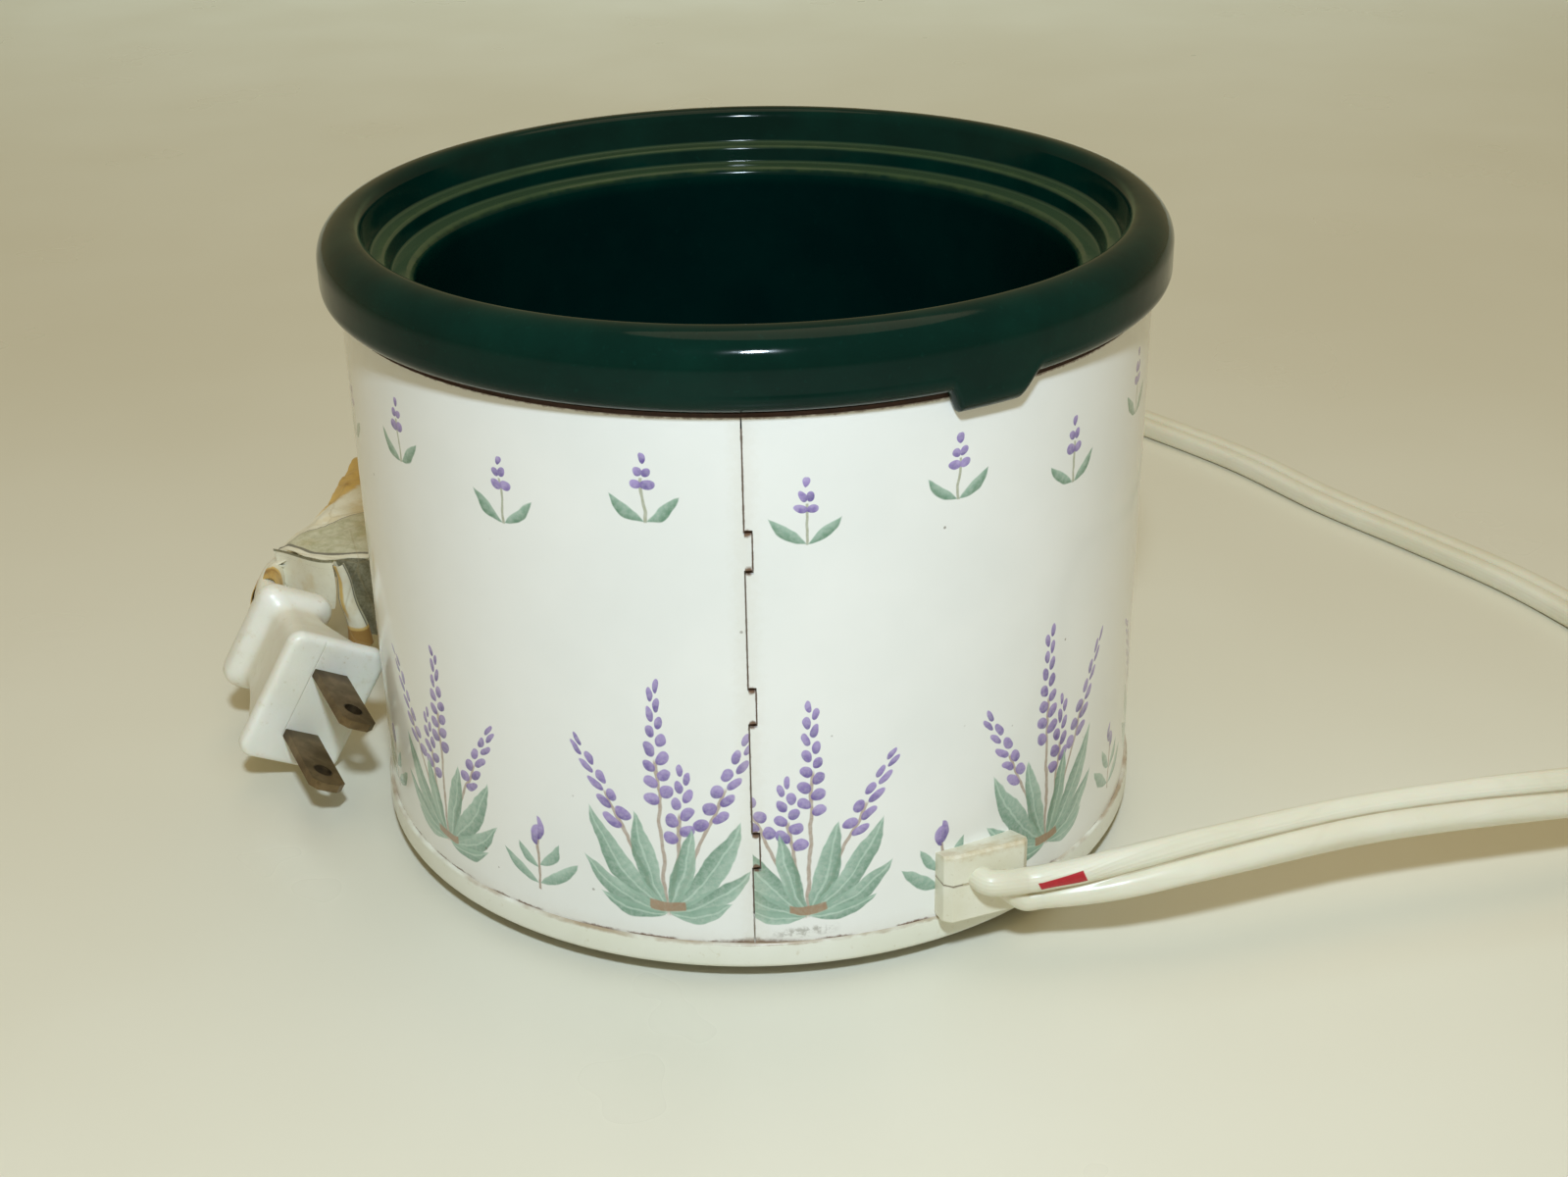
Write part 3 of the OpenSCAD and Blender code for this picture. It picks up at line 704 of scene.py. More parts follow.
def make_plug():
    table = [(0.0, 11.2, 7.95, 1.9), (0.04, 11.75, 8.5, 2.1), (0.16, 12.15, 8.9, 2.3), (0.4, 12.5, 9.25, 2.5),
             (0.8, 12.72, 9.47, 2.6), (1.6, 12.75, 9.5, 2.6), (2.3, 12.72, 9.47, 2.6), (2.75, 12.5, 9.25, 2.7),
             (3.05, 12.15, 8.9, 2.8), (3.25, 11.8, 8.55, 2.9), (3.6, 11.5, 8.2, 3.0), (4.4, 11.3, 7.9, 3.0),
             (6.0, 11.0, 7.4, 3.0), (8.0, 10.6, 6.85, 3.0), (10.5, 10.1, 6.2, 3.0), (13.0, 9.6, 5.55, 3.0),
             (15.5, 9.15, 5.05, 3.0), (17.6, 8.88, 4.76, 3.0), (19.0, 8.85, 4.75, 3.0), (19.7, 9.0, 5.0, 3.0),
             (20.3, 9.3, 5.45, 3.0), (20.9, 9.7, 6.05, 3.0), (21.4, 10.05, 6.6, 3.0), (21.9, 10.35, 7.05, 3.0),
             (22.5, 10.5, 7.25, 3.0), (23.4, 10.52, 7.3, 3.0), (24.4, 10.5, 7.27, 3.0), (25.1, 10.3, 7.05, 3.1),
             (25.6, 9.9, 6.6, 3.1), (25.9, 9.3, 6.0, 3.1), (26.0, 7.8, 4.9, 3.2), (26.08, 6.5, 4.4, 3.2),
             (26.3, 6.0, 4.2, 3.3), (26.8, 5.6, 3.75, 3.1), (27.4, 5.2, 3.2, 2.7), (27.8, 4.8, 2.85, 2.5),
             (28.0, 4.3, 2.45, 2.2)]
    rings = [[plug_at(x, y, z) for x, y in super_ring(hx, hy, r)] for z, hx, hy, r in table]
    return build("moulded_plug", *loft(rings), sharp=70)


PLUG = make_plug()


# ---------------------------------------------------------------- paper slip
def patch(func, nu, nv, t=0.16):
    """A thin sheet from func(u, v) -> (x, y, z, amber, rule, rule2), closed at its edges."""
    q = np.array([[func(i / nu, k / nv) for k in range(nv + 1)] for i in range(nu + 1)], float)
    g = q[:, :, :3]
    nrm = np.cross(np.gradient(g, axis=0), np.gradient(g, axis=1))
    nrm /= np.linalg.norm(nrm, axis=2)[:, :, None] + 1e-12
    m, n = nv + 1, nu + 1
    verts = [tuple(g[i, k] + nrm[i, k] * t * side) for side in (0.5, -0.5) for i in range(n) for k in range(m)]
    o = n * m
    faces = []
    for i in range(n - 1):
        for k in range(m - 1):
            a, b, c, d = i * m + k, i * m + k + 1, (i + 1) * m + k + 1, (i + 1) * m + k
            faces += [[a, b, c, d], [o + d, o + c, o + b, o + a]]
    rim = [i * m for i in range(n)] + [(n - 1) * m + k for k in range(1, m)] \
        + [i * m + m - 1 for i in range(n - 2, -1, -1)] + [k for k in range(m - 2, 0, -1)]
    for a, b in zip(rim, rim[1:] + rim[:1]):
        faces.append([a, b, o + b, o + a])
    return verts, faces, [list(q[:, :, k].reshape(-1)) * 2 for k in (3, 4, 5)]


def make_tag():
    lead = [q for q in CORD_PATH if q[0] < -70 and q[1] > 26]

    def lead_at(y):
        q = min(lead, key=lambda k: abs(k[1] - y))
        return q[0], q[2]

    def front(a):
        """Where the panel's near edge is: it slants back on the left."""
        return 36.4 + 8.2 * (1 - smoothstep(a, -0.1, 0.52))

    def crumple(x, y):
        return 0.32 * sin(y * 0.42 + x * 0.35) + 0.22 * sin(y * 0.9 - x * 0.8 + 1) + 0.12 * sin(y * 2.1 + x * 1.7)

    def panel(a, b):
        y = front(a) + (89 - front(a)) * b
        x0 = float(np.interp(y, (36, 43, 62.5, 84.6, 90), (-94.2, -93.6, -87.2, -85.4, -84.8)))
        x = x0 + (-69.5 - x0) * a
        z = 26.1 + crumple(x, y) * (0.4 + 0.6 * b) - 1.7 * (1 - smoothstep(a, 0, 0.16)) * (1 - 0.6 * b) \
            + 1.2 * (b - 0.5) ** 2
        stain = 0.48 * (y - 60.7) - 0.877 * (x + 86.9)
        return x, y, z, 0.95 * smoothstep(stain, -1.5, 3.0) * (1 - 0.5 * smoothstep(b, 0.9, 1.0)), \
            0.075 + 0.08 * (x - y + 137.7) / 1.414, b

    def leg(a, c):
        """The near side hangs down; its left edge is rolled up towards the front."""
        z = 26.2 - 17.4 * c
        base = 36.5 + 2.2 * c
        run = 9.5
        r = 1.35 + 1.6 * c
        x_roll = -79.2 + 2.9 * c
        d = (1 - a) * (run + r * 4.6)
        t = max(0.0, (d - run) / r)
        if d < run:
            x, y = -70.0 + (x_roll + 70.0) * d / run, base
        else:
            rr = r * (1 - 0.07 * t)
            x, y = x_roll - rr * sin(t), base - r + rr * cos(t)
        streak = smoothstep(t, 2.1, 2.4) * (1 - smoothstep(t, 2.6, 3.1)) * (1 - smoothstep(c, 0.5, 0.8))
        # painted shade, partly stain: the bottom of the roll turns dark brown
        end = smoothstep(c, 0.72, 0.82) * smoothstep(t, 0.5, 1.5)
        # the flat hanging part is marked 4.0 for painted shade; the roll carries the ruled lines
        rule_and_shade = 4.0 if t < 0.8 else 0.075 + 0.06 * r * (t - 2.05)
        return x + 0.25 * sin(z * 0.6), y + 0.2 * sin(z * 0.8 + x), z - 0.3 * sin(a * 9), \
            0.8 * streak + 1.6 * end, rule_and_shade, 0.04 + 0.042 * r * (t - 4.2)

    def flap(a, c):
        """The left side folds down and in towards the lead."""
        y = front(a * 0.52)
        x = -93.5 + 12.7 * a
        z = 25.4 + 0.7 * a - (11.5 - 2.0 * a) * c
        # the strip just under the panel's front edge is marked for painted shade
        return (x + 0.9 * sin(c * 2.6) + 1.2 * c * (0.5 - a), y - 1.7 * sin(c * 2.2) - 1.2 * c * (1 - a), z,
                0.25 * smoothstep(c, 0.5, 1), 4.0 * (1 - smoothstep(c, 0.03, 0.1 + 0.1 * a)) - 0.5, -0.5)

    turn = [(4.3 * cos(rad(f)), 2.45 * sin(rad(f))) for f in range(24, 337, 12)]
    loop_pts = [(6.8, 6.3), (4.6, 5.4)] + [(0.26 * p - 0.966 * q, 0.966 * p + 0.26 * q) for p, q in turn] \
        + [(3.7, 2.2), (5.8, 2.8)]
    loop_crv = spline(loop_pts, 2)

    def loop(a, b):
        """Wrapped round the lead, behind the plug; its near end is a stained cuff."""
        y = 35.2 + 11.8 * b + 0.4 * sin(a * 6.0)
        p = loop_crv[min(len(loop_crv) - 1, int(round(a * (len(loop_crv) - 1))))]
        f, th = rad(-8 + 376 * a), rad(float(np.interp(y, (29.7, 37.2, 45), (60, 70, 77))))
        u, v = (4.45 + 0.3 * a) * cos(f), (2.32 + 0.25 * a) * sin(f)
        k = smoothstep(b, 0.46, 0.7)
        px = p[0] * k + (cos(th) * u - sin(th) * v) * (1 - k)
        pz = p[1] * k + (sin(th) * u + cos(th) * v) * (1 - k)
        x, z = lead_at(y)
        return x + px, y, z + pz, 1.1 * (1 - smoothstep(b, 0.3, 0.45)), -0.5, -0.5

    parts = [patch(panel, 30, 48), patch(leg, 110, 22), patch(flap, 16, 30), patch(loop, len(loop_crv) - 1, 30)]
    v, f = merge(*[(p[0], p[1]) for p in parts])
    attrs = {key: [x for p in parts for x in p[2][k]] for k, key in enumerate(("stain_and_shade", "rule_and_shade", "rule2"))}
    return build("paper_slip", v, f, attrs=attrs, sharp=60)


TAG = make_tag()


# ---------------------------------------------------------------- materials
def glaze():
    g = G("deep_green_glaze", spec=0.15, ior=1.5)
    r = g.f("SQRT", g.x * g.x + g.y * g.y)
    # the glaze runs thin and breaks lighter over the ledge edges; the third part, on the front half only along the
    # rim's inner top edge, is a painted sheen
    thin = g.step(abs(r - 58.0), 1.3, 0.1) * g.step(abs(g.z - 98.9), 0.7, 0.1)
    thin = thin + g.step(abs(r - 53.6), 1.2, 0.1) * g.step(abs(g.z - 95.7), 0.8, 0.1)
    front = g.step(g.y, 14.0, -14.0)
    thin = thin + g.step(abs(r - 61.6), 1.4, 0.2) * g.step(abs(g.z - 104.4), 1.0, 0.1) * front * 0.5
    cloud = g.noise(14, 4, 0.6)
    c = g.mix(g.step(cloud, 0.3, 0.75), lin(2, 33, 27), lin(4, 42, 34))
    c = g.mix(g.step(g.noise(0.9, 2), 0.62, 0.8, 0.0, 0.3), c, lin(10, 58, 49))
    # painted shade: darker all over inside the cavity
    cavity_shade = g.step(r, 54.0, 52.8) * g.step(g.z, 95.0, 92.5)
    c = g.mix(cavity_shade * 0.6, c, lin(1, 16, 18))
    c = g.mix(thin * g.step(g.noise(3, 3), 0.25, 0.7) * 0.6, c, lin(62, 78, 42))
    # painted sheen: the flat tops of the two ledges are lighter, standing in for their reflection
    ledge_sheen = g.step(abs(g.z - 99.0), 0.55, 0.2) * g.step(abs(r - 58.4), 1.9, 1.4)
    ledge_sheen = ledge_sheen + g.step(abs(g.z - 96.0), 0.55, 0.2) * g.step(abs(r - 54.9), 2.3, 1.7)
    c = g.mix(ledge_sheen * 0.65, c, lin(62, 80, 54))
    # painted reflection: a lighter line along the rim's inner top edge on the front half
    brow = g.step(abs(r - 61.0), 0.8, 0.2) * g.step(g.z, 103.9, 104.6) * front
    c = g.mix(brow * 0.5, c, lin(88, 112, 84))
    # bare clay on the foot it was fired on
    bare = g.step(g.z, 25.9, 25.5) * g.step(r, 46.0, 46.8)
    c = g.mix(bare, c, lin(196, 178, 150))
    g.set("color", c)
    g.set("rough", bare * 0.6 + g.step(g.noise(5, 3), 0.3, 0.75, 0.07, 0.15))
    g.set("normal", g.bump(g.noise(8, 3, 0.5), 0.08, 0.6))
    return g


def leaf(g, x, y, bx, by, deg, length, w, k):
    """A slender leaf from (bx, by): its cover, and how far across and along it a point is."""
    c, s = cos(rad(deg)), sin(rad(deg))
    p = g.madd(x, c, g.madd(y, s, -(bx * c + by * s)))
    q = g.madd(y, c, g.madd(x, -s, bx * s - by * c))
    t = p * (1 / length)
    hump = t * (1.0 - t)
    q = g.madd(hump, -4.0 * k, q)
    d = g.madd(hump, 4.0 * w, -abs(q))
    return g.step(d, -0.05, 0.22), q, t


def enamel():
    g = G("printed_white_enamel", coat=0.6, coat_rough=0.08, ior=1.5)
    ang = g.f("ARCTAN2", g.y, g.x) * (180 / pi)
    deg = g.f("FLOORED_MODULO", ang - SEAM_AZ, 360.0)
    s = deg * rad(1) * SR
    z = g.z
    r = g.f("SQRT", g.x * g.x + g.y * g.y)
    outside = g.step(r, 64.55, 64.75)
    # a little unsteadiness of the hand in the print
    wob = g.noise(5.0, 2, 0.5, vec=g.vec(s, z), colour=True)
    fine = g.noise(0.8, 2, 0.6, vec=g.vec(s, z))
    wash = g.noise(3.2, 3, 0.6, vec=g.vec(s, z, 40.0))
    u = g.madd(wob[0] - 0.5, 1.5, s)
    v = g.madd(wob[1] - 0.5, 1.5, z)
    white = g.mix(g.step(g.noise(30, 3), 0.3, 0.7), lin(240, 241, 238), lin(246, 246, 243))
    c = white
    green_d, green_l = lin(104, 146, 124), lin(178, 206, 190)
    violet_d, violet_l = lin(88, 62, 148), lin(168, 146, 208)
    brown = lin(150, 116, 88)
    ink = g.step(fine, 0.2, 0.75, 0.78, 0.98)

    # ---- upright lavender tufts round the foot
    P = 43.0
    cell = g.f("FLOOR", g.madd(u, 1 / P, 0.31))
    odd = g.f("FLOORED_MODULO", cell, 2.0)
    x = (g.madd(u, 1 / P, 0.31) - cell - 0.5) * P
    x = x * g.madd(odd, -2.0, 1.0)
    grow = g.madd(g.f("SINE", cell * 2.3), 0.09, 1.0)
    y = (v - 11.5) / grow
    stems = ((0.0, 1.4, -0.6, 36.0, 0.0), (-0.8, -10.5, -2.5, 30.0, 0.3), (0.8, 9.0, 4.0, 27.0, 0.6),
             (-0.4, -4.0, 1.0, 24.0, 0.15))
    for x0, lean, bend, high, ph in stems:
        t = y * (1 / high)
        dx = x - g.madd(t, g.madd(t, bend, lean), x0)
        stalk = g.step(abs(dx), 0.42, 0.2) * g.step(abs(t - 0.36), 0.36, 0.33)
        c = g.mix(stalk * 0.75 * ink, c, brown)
        pitch = 2.7
        lane = g.f("GREATER_THAN", dx, 0.0)
        at = g.madd(y, 1 / pitch, g.madd(lane, 0.5, ph))
        n = g.f("FLOOR", at)
        m = at - n
        mid = (n - lane * 0.5 + (0.5 - ph)) * (pitch / high)
        ly = (m - 0.5) * pitch
        wide = g.step(mid, 0.5, 1.06, 2.3, 0.95)
        ex = abs(dx) / wide - 0.52
        ey = (ly - ex * 0.55) * (1 / 1.06)
        e = ex * ex * 3.4 + ey * ey
        bud = g.step(e, 1.05, 0.74) * g.step(abs(mid - 0.77), 0.262, 0.258)
        tone = g.step(wash * 0.6 + m * 0.4, 0.25, 0.7)
        c = g.mix(bud * ink, c, g.mix(tone, violet_d, violet_l))
    blades = ((168, 10.5, 1.3, 1.3), (149, 15.0, 1.75, 1.6), (127, 19.5, 2.0, 1.5), (106, 15.0, 1.7, 0.7),
              (74, 17.0, 1.8, -0.7), (53, 20.0, 2.0, -1.5), (31, 15.5, 1.75, -1.6), (12, 11.0, 1.3, -1.3))
    for i, (a, length, w, k) in enumerate(blades):
        cover, q, t = leaf(g, x, y, 0.0, 0.6, a, length, w, k)
        shade = g.step(q, -w, w, 0.05, 0.75) * g.step(wash, 0.2, 0.75, 0.55, 1.15)
        col = g.mix(shade + g.step(abs(q), 0.24, 0.08, 0.0, 0.5), green_d, green_l)
        c = g.mix(cover * ink, c, col)
    tie = g.step(abs(y - g.madd(x * x, 0.05, 1.5)), 0.85, 0.6) * g.step(abs(x), 2.9, 2.6)
    c = g.mix(tie * ink, c, g.mix(wash, brown, lin(176, 146, 118)))
    # ---- a small sprout between two tufts
    e = P / 2 - abs(x)
    stalk = g.step(abs(e), 0.34, 0.16) * g.step(abs(y - 4.4), 4.6, 4.3)
    c = g.mix(stalk * 0.8 * ink, c, brown)
    for by, a, length, w in ((1.0, 36, 8.5, 1.15), (4.0, 50, 6.0, 0.95)):
        cover, q, t = leaf(g, e, y, 0.0, by, a, length, w, -0.6)
        shade = g.step(q, -w, w, 0.1, 0.8) * g.step(wash, 0.2, 0.75, 0.6, 1.1)
        c = g.mix(cover * ink, c, g.mix(shade, green_d, green_l))
    ex, ey = e * (1 / 1.25), (y - 10.3) * (1 / 1.9)
    bud = g.step(ex * ex + ey * ey, 1.08, 0.8)
    c = g.mix(bud * ink, c, g.mix(g.step(wash + ey * 0.25, 0.3, 0.75), violet_d, violet_l))

    # ---- a band of small upright buds under the rim
    Q = 22.7
    cell2 = g.f("FLOOR", g.madd(u, 1 / Q, 0.12))
    x2 = (g.madd(u, 1 / Q, 0.12) - cell2 - 0.5) * Q
    y2 = v - g.madd(g.f("FLOORED_MODULO", cell2, 2.0), 3.4, 76.6)
    ax = abs(x2)
    stalk = g.step(abs(x2), 0.3, 0.14) * g.step(abs(y2 - 0.2), 3.4, 3.1)
    c = g.mix(stalk * 0.8 * ink, c, lin(150, 152, 118))
    cover, q, t = leaf(g, ax, y2, 0.0, -3.0, 38, 6.6, 0.95, -0.5)
    shade = g.step(q, -0.9, 0.9, 0.0, 0.7) * g.step(wash, 0.2, 0.75, 0.6, 1.1)
    c = g.mix(cover * ink, c, g.mix(shade, lin(84, 132, 104), green_l))
    at = y2 * (1 / 2.0) + 0.25
    n = g.f("FLOOR", at)
    m = at - n
    mid = n * 2.0 + 0.5
    ly = (m - 0.5) * 2.0
    wide = g.step(mid, 1.0, 7.0, 1.85, 0.8)
    top = g.step(mid, 6.0, 6.2)
    ex = (ax / wide - 0.5) * (1.0 - top) + ax * top * 1.1
    ey = (ly - ex * 0.3) * (1 / 0.8)
    bud = g.step(ex * ex * 2.8 + ey * ey, 1.05, 0.75) * g.step(abs(mid - 4.5), 2.6, 2.5)
    c = g.mix(bud * ink, c, g.mix(g.step(wash * 0.7 + m * 0.3, 0.3, 0.65), violet_d, violet_l))
    # painted shade: the inside faces and the lap under the seam are dull brown, as the lap is seen in shade through the
    # seam gap
    c = g.mix(outside, lin(116, 100, 86), c)

    # ---- age: rust at the cut edges, soil in the corner, specks
    edge = g.f("MINIMUM", s, GIRTH - s)
    grit = g.noise(1.1, 4, 0.65)
    slow = g.noise(9.0, 2)
    line = g.step(edge + grit * 0.5, 0.46, 0.26) * g.step(slow, 0.3, 0.6, 0.42, 0.95)
    right = g.f("LESS_THAN", s, 20.0)
    rust = line
    for a, b in TABS:
        half = (b - a) / 2
        up = abs(z - (a + b) / 2)
        inside = g.step(up, half + 0.05, half - 0.1)
        rust = rust * (1.0 - inside)
        side = g.step(abs(s - 1.12) + grit * 0.3, 0.34, 0.2) * inside
        ends = g.step(abs(up - half) + grit * 0.5, 0.62, 0.4) * g.step(abs(s - 0.5) + grit * 0.4, 0.95, 0.6) * right
        rust = g.f("MAXIMUM", rust, g.f("MAXIMUM", side, ends) * 0.9)
        for zz in (a, b):
            d = g.f("SQRT", (s - 0.5) * (s - 0.5) + (z - zz) * (z - zz))
            rust = g.f("MAXIMUM", rust, g.step(d + grit * 0.9, 1.3, 0.85))
    foot = g.step(z + grit * 0.9, 8.35, 7.9) * g.step(g.noise(6.0, 3), 0.42, 0.62)
    rust = g.f("MAXIMUM", rust, foot)
    foot2 = g.step(z + grit * 1.2 + edge * 0.12, 9.4, 8.2)
    rust = g.f("MAXIMUM", rust, foot2)
    top = g.step(z - grit * 0.8, 92.0, 92.4) * 0.8
    rust = g.f("MAXIMUM", rust, top)
    c = g.mix(g.f("MINIMUM", rust, 1.0), c, g.mix(grit, lin(48, 26, 18), lin(132, 82, 52)))
    halo = g.step(edge + grit * 3.0, 4.6, 1.2) * 0.16 + g.step(z + grit * 2.0, 11.5, 8.0) * 0.12
    c = g.mix(halo, c, lin(205, 192, 164))
    smear = g.step(abs(s - 7.5), 6.2, 2.0) * g.step(abs(z - 9.0 - (s - 7.5) * 0.06), 1.3, 0.3) * g.step(grit, 0.4, 0.62)
    c = g.mix(smear * 0.55, c, lin(120, 110, 92))
    speck = g.step(g.cells(5.5), 0.055, 0.03) * g.step(g.noise(13), 0.5, 0.6)
    c = g.mix(speck * 0.7, c, lin(110, 96, 80))
    g.set("color", c)
    g.set("rough", g.f("MINIMUM", rust, 1.0) * 0.5 + g.step(g.noise(26, 2), 0.3, 0.75, 0.22, 0.26))
    g.set("normal", g.bump(g.noise(9.0, 2) * 0.2 + rust * 0.8, 0.05, 0.5))
    return g


def aluminium():
    g = G("spun_aluminium", metal=1.0, ior=1.5)
    r = g.f("SQRT", g.x * g.x + g.y * g.y)
    rings = g.noise(0.5, 3, 0.6, vec=g.vec(r, g.z))
    stain = g.step(g.noise(16, 4, 0.6), 0.45, 0.7)
    c = g.mix(rings, lin(176, 178, 180), lin(206, 207, 208))
    c = g.mix(stain * 0.5, c, lin(158, 148, 128))
    # painted shade: the flange's outer edge is dark brown, standing in for the shadow gap under the rim
    lip = g.step(r + g.noise(4, 3) * 0.8, 63.6, 64.6) * g.step(g.z, 92.3, 92.7)
    g.set("color", g.mix(lip * 0.94, c, g.mix(g.noise(1.2, 3), lin(34, 20, 16), lin(84, 52, 36))))
    g.set("rough", g.step(rings, 0.3, 0.7, 0.3, 0.5) + stain * 0.12 + lip * 0.3)
    g.set("normal", g.bump(rings, 0.03, 0.5))
    return g


def steel(name, a, b, rough=0.32):
    g = G(name, metal=1.0, ior=1.5)
    grain = g.noise(0.6, 3, 0.6, vec=g.vec(g.x * 0.12, g.y, g.z))
    dull = g.step(g.noise(9, 4), 0.4, 0.7)
    g.set("color", g.mix(dull * 0.7, g.mix(grain, a, b), lin(120, 112, 100)))
    g.set("rough", g.step(grain, 0.3, 0.7, rough - 0.06, rough + 0.08) + dull * 0.15)
    g.set("normal", g.bump(grain, 0.02, 0.4))
    return g


def plastic(name, base, dark, light, rough=0.35, bump=0.03, coat=0.0, sss=0.0):
    g = G(name, ior=1.48, coat=coat)
    if sss:
        g.set("sss", sss)
        g.set("sss_scale", 0.001)
    g.set("color", g.dusty(base, dark, light))
    g.set("rough", g.step(g.noise(4, 4), 0.3, 0.75, rough - 0.05, rough + 0.12))
    g.set("normal", g.bump(g.noise(0.7, 3, 0.6), bump, 0.5))
    return g


def ring_plastic():
    g = G("cream_plastic", ior=1.48, coat=0.25, coat_rough=0.15)
    r = g.f("SQRT", g.x * g.x + g.y * g.y)
    c = g.dusty(lin(232, 232, 216), lin(198, 186, 150), lin(238, 238, 226))
    grime = g.step(g.z + g.noise(2, 3) * 0.8, 7.3, 7.75) * g.step(g.noise(10, 3), 0.35, 0.65)
    c = g.mix(grime * 0.8, c, lin(158, 130, 92))
    scuff = g.step(g.z + g.noise(3, 3), 4.4, 3.2) * g.step(g.noise(14, 2), 0.4, 0.7)
    c = g.mix(scuff * 0.35, c, lin(170, 158, 130))
    g.set("color", c)
    g.set("rough", g.step(g.noise(5, 3), 0.3, 0.75, 0.28, 0.42))
    g.set("normal", g.bump(g.noise(0.9, 3) * 0.6 + g.noise(9, 2), 0.05, 0.5))
    return g


def bushing_plastic():
    g = G("aged_cream_plastic", ior=1.48)
    c = g.dusty(lin(228, 224, 202), lin(186, 168, 126), lin(236, 233, 216), 7.0, 0.7)
    # a dirty upper edge and a dark line where the halves meet
    up = g.step(g.z + g.noise(2.2, 4, 0.65) * 3.4, 20.6, 22.6)
    c = g.mix(up * 0.75, c, lin(196, 172, 122))
    seam = g.step(abs(g.z - 15.0) + g.noise(1.5, 2) * 0.25, 0.42, 0.16)
    c = g.mix(seam * 0.7, c, lin(128, 104, 70))
    g.set("color", c)
    g.set("rough", g.step(g.noise(3, 4), 0.3, 0.75, 0.42, 0.6))
    g.set("normal", g.bump(g.noise(0.8, 4, 0.6), 0.06, 0.5))
    return g


def vinyl():
    g = G("ivory_vinyl", ior=1.5, sss=0.12, sss_scale=0.0012, coat=0.18, coat_rough=0.2)
    a, sx, sy = g.attr("arc"), g.attr("sx"), g.attr("sy")
    c = g.mix(g.step(g.noise(22, 3), 0.3, 0.7), lin(226, 222, 200), lin(233, 230, 212))
    # painted shade: darker along the groove between the two cores, also where the elbow's cores face each other
    groove_shade = g.step(abs(sx) + g.noise(3, 2) * 0.2, 0.46, 0.14)
    c = g.mix(groove_shade * 0.6, c, lin(170, 142, 92))
    grub = g.step(g.noise(6, 4, 0.65), 0.6, 0.78)
    c = g.mix(grub * 0.14, c, lin(190, 172, 130))
    scuff = g.step(g.cells(7.0, "DISTANCE_TO_EDGE", vec=g.vec(a * 0.25, sx * 2.0, sy * 2.0)), 0.05, 0.0) * 0.05
    c = g.mix(scuff, c, lin(178, 162, 128))
    # a dash of red ink on the marked core
    wide = g.step(a, 0.2, 7.6, 0.62, 0.95)
    tall = g.step(abs(sx - g.step(a, 0.2, 7.6, 2.3, 2.15)) - wide, 0.09, -0.05)
    dash = tall * g.step(abs(a - 3.9 + sx * 0.3), 3.65, 3.45) * g.step(sy, 0.3, 0.6)
    c = g.mix(dash, c, g.mix(g.noise(0.8), lin(168, 14, 30), lin(196, 26, 44)))
    g.set("color", c)
    # fine ribs along one core
    ribs = g.f("SINE", g.f("ARCTAN2", sy, sx - 2.0) * 22.0) * g.step(sx, 0.5, 1.0)
    g.set("rough", g.step(g.noise(3, 3), 0.3, 0.75, 0.3, 0.42) + g.step(sx, 0.5, 1.0, 0.0, 0.1))
    g.set("normal", g.bump(ribs * 0.5 + g.noise(1.4, 3), 0.05, 0.5))
    return g


def in_plug(g):
    """A point's place in the plug: across the blades, along their width, back from the face."""
    out = []
    for e in PLUG_R.T:
        k = [float(c) for c in e]
        out.append(g.madd(g.x, k[0], g.madd(g.y, k[1], g.madd(g.z, k[2], -float(PLUG_P @ e)))))
    return out


def plug_vinyl():
    g = G("white_vinyl", ior=1.5, sss=0.1, sss_scale=0.0012, coat=0.15, coat_rough=0.2)
    c = g.dusty(lin(240, 238, 224), lin(200, 184, 142), lin(246, 245, 236), 12.0, 1.0)
    grub = g.step(g.noise(4, 4, 0.65), 0.56, 0.78)
    c = g.mix(grub * 0.3, c, lin(206, 192, 152))
    # a faint line across the face where the blades' insert ends; painted shade: the waist is a darker beige
    u, v, w = in_plug(g)
    line = g.step(abs(v + 3.3) + g.noise(2, 2) * 0.1, 0.2, 0.06) * g.step(w, 0.5, 0.2) * g.step(u, -8.0, -6.5)
    c = g.mix(line * 0.3, c, lin(150, 138, 104))
    waist_shade = g.step(abs(w - 11.5), 9.5, 6.5) * g.step(g.noise(6, 3), 0.2, 0.6, 0.5, 1.0)
    c = g.mix(waist_shade * 0.42, c, lin(196, 182, 140))
    g.set("color", c)
    g.set("rough", g.step(g.noise(3, 3), 0.3, 0.75, 0.34, 0.5))
    g.set("normal", g.bump(g.noise(0.9, 3) + g.noise(5, 2) * 1.5 - line * 2.0, 0.06, 0.5))
    return g


def brass():
    g = G("tarnished_brass", metal=0.7, ior=1.5)
    cloud = g.noise(5, 3, 0.55)
    spots = g.noise(1.3, 3, 0.6)
    c = g.mix(g.step(cloud, 0.3, 0.7), lin(104, 86, 58), lin(140, 118, 84))
    c = g.mix(g.step(spots, 0.58, 0.75) * 0.5, c, lin(68, 52, 34))
    u, v, w = in_plug(g)
    hole = g.f("SQRT", v * v + (w + 12.5) * (w + 12.5))
    c = g.mix(g.step(hole + spots * 0.6, 2.3, 1.75) * 0.9, c, lin(30, 22, 14))
    root = g.step(w + g.noise(2, 3) * 3.0, -2.2, 0.2)
    c = g.mix(root * 0.5, c, lin(60, 46, 30))
    g.set("color", c)
    g.set("rough", g.step(cloud, 0.3, 0.7, 0.5, 0.38))
    g.set("normal", g.bump(spots * 0.5 + cloud, 0.03, 0.4))
    return g


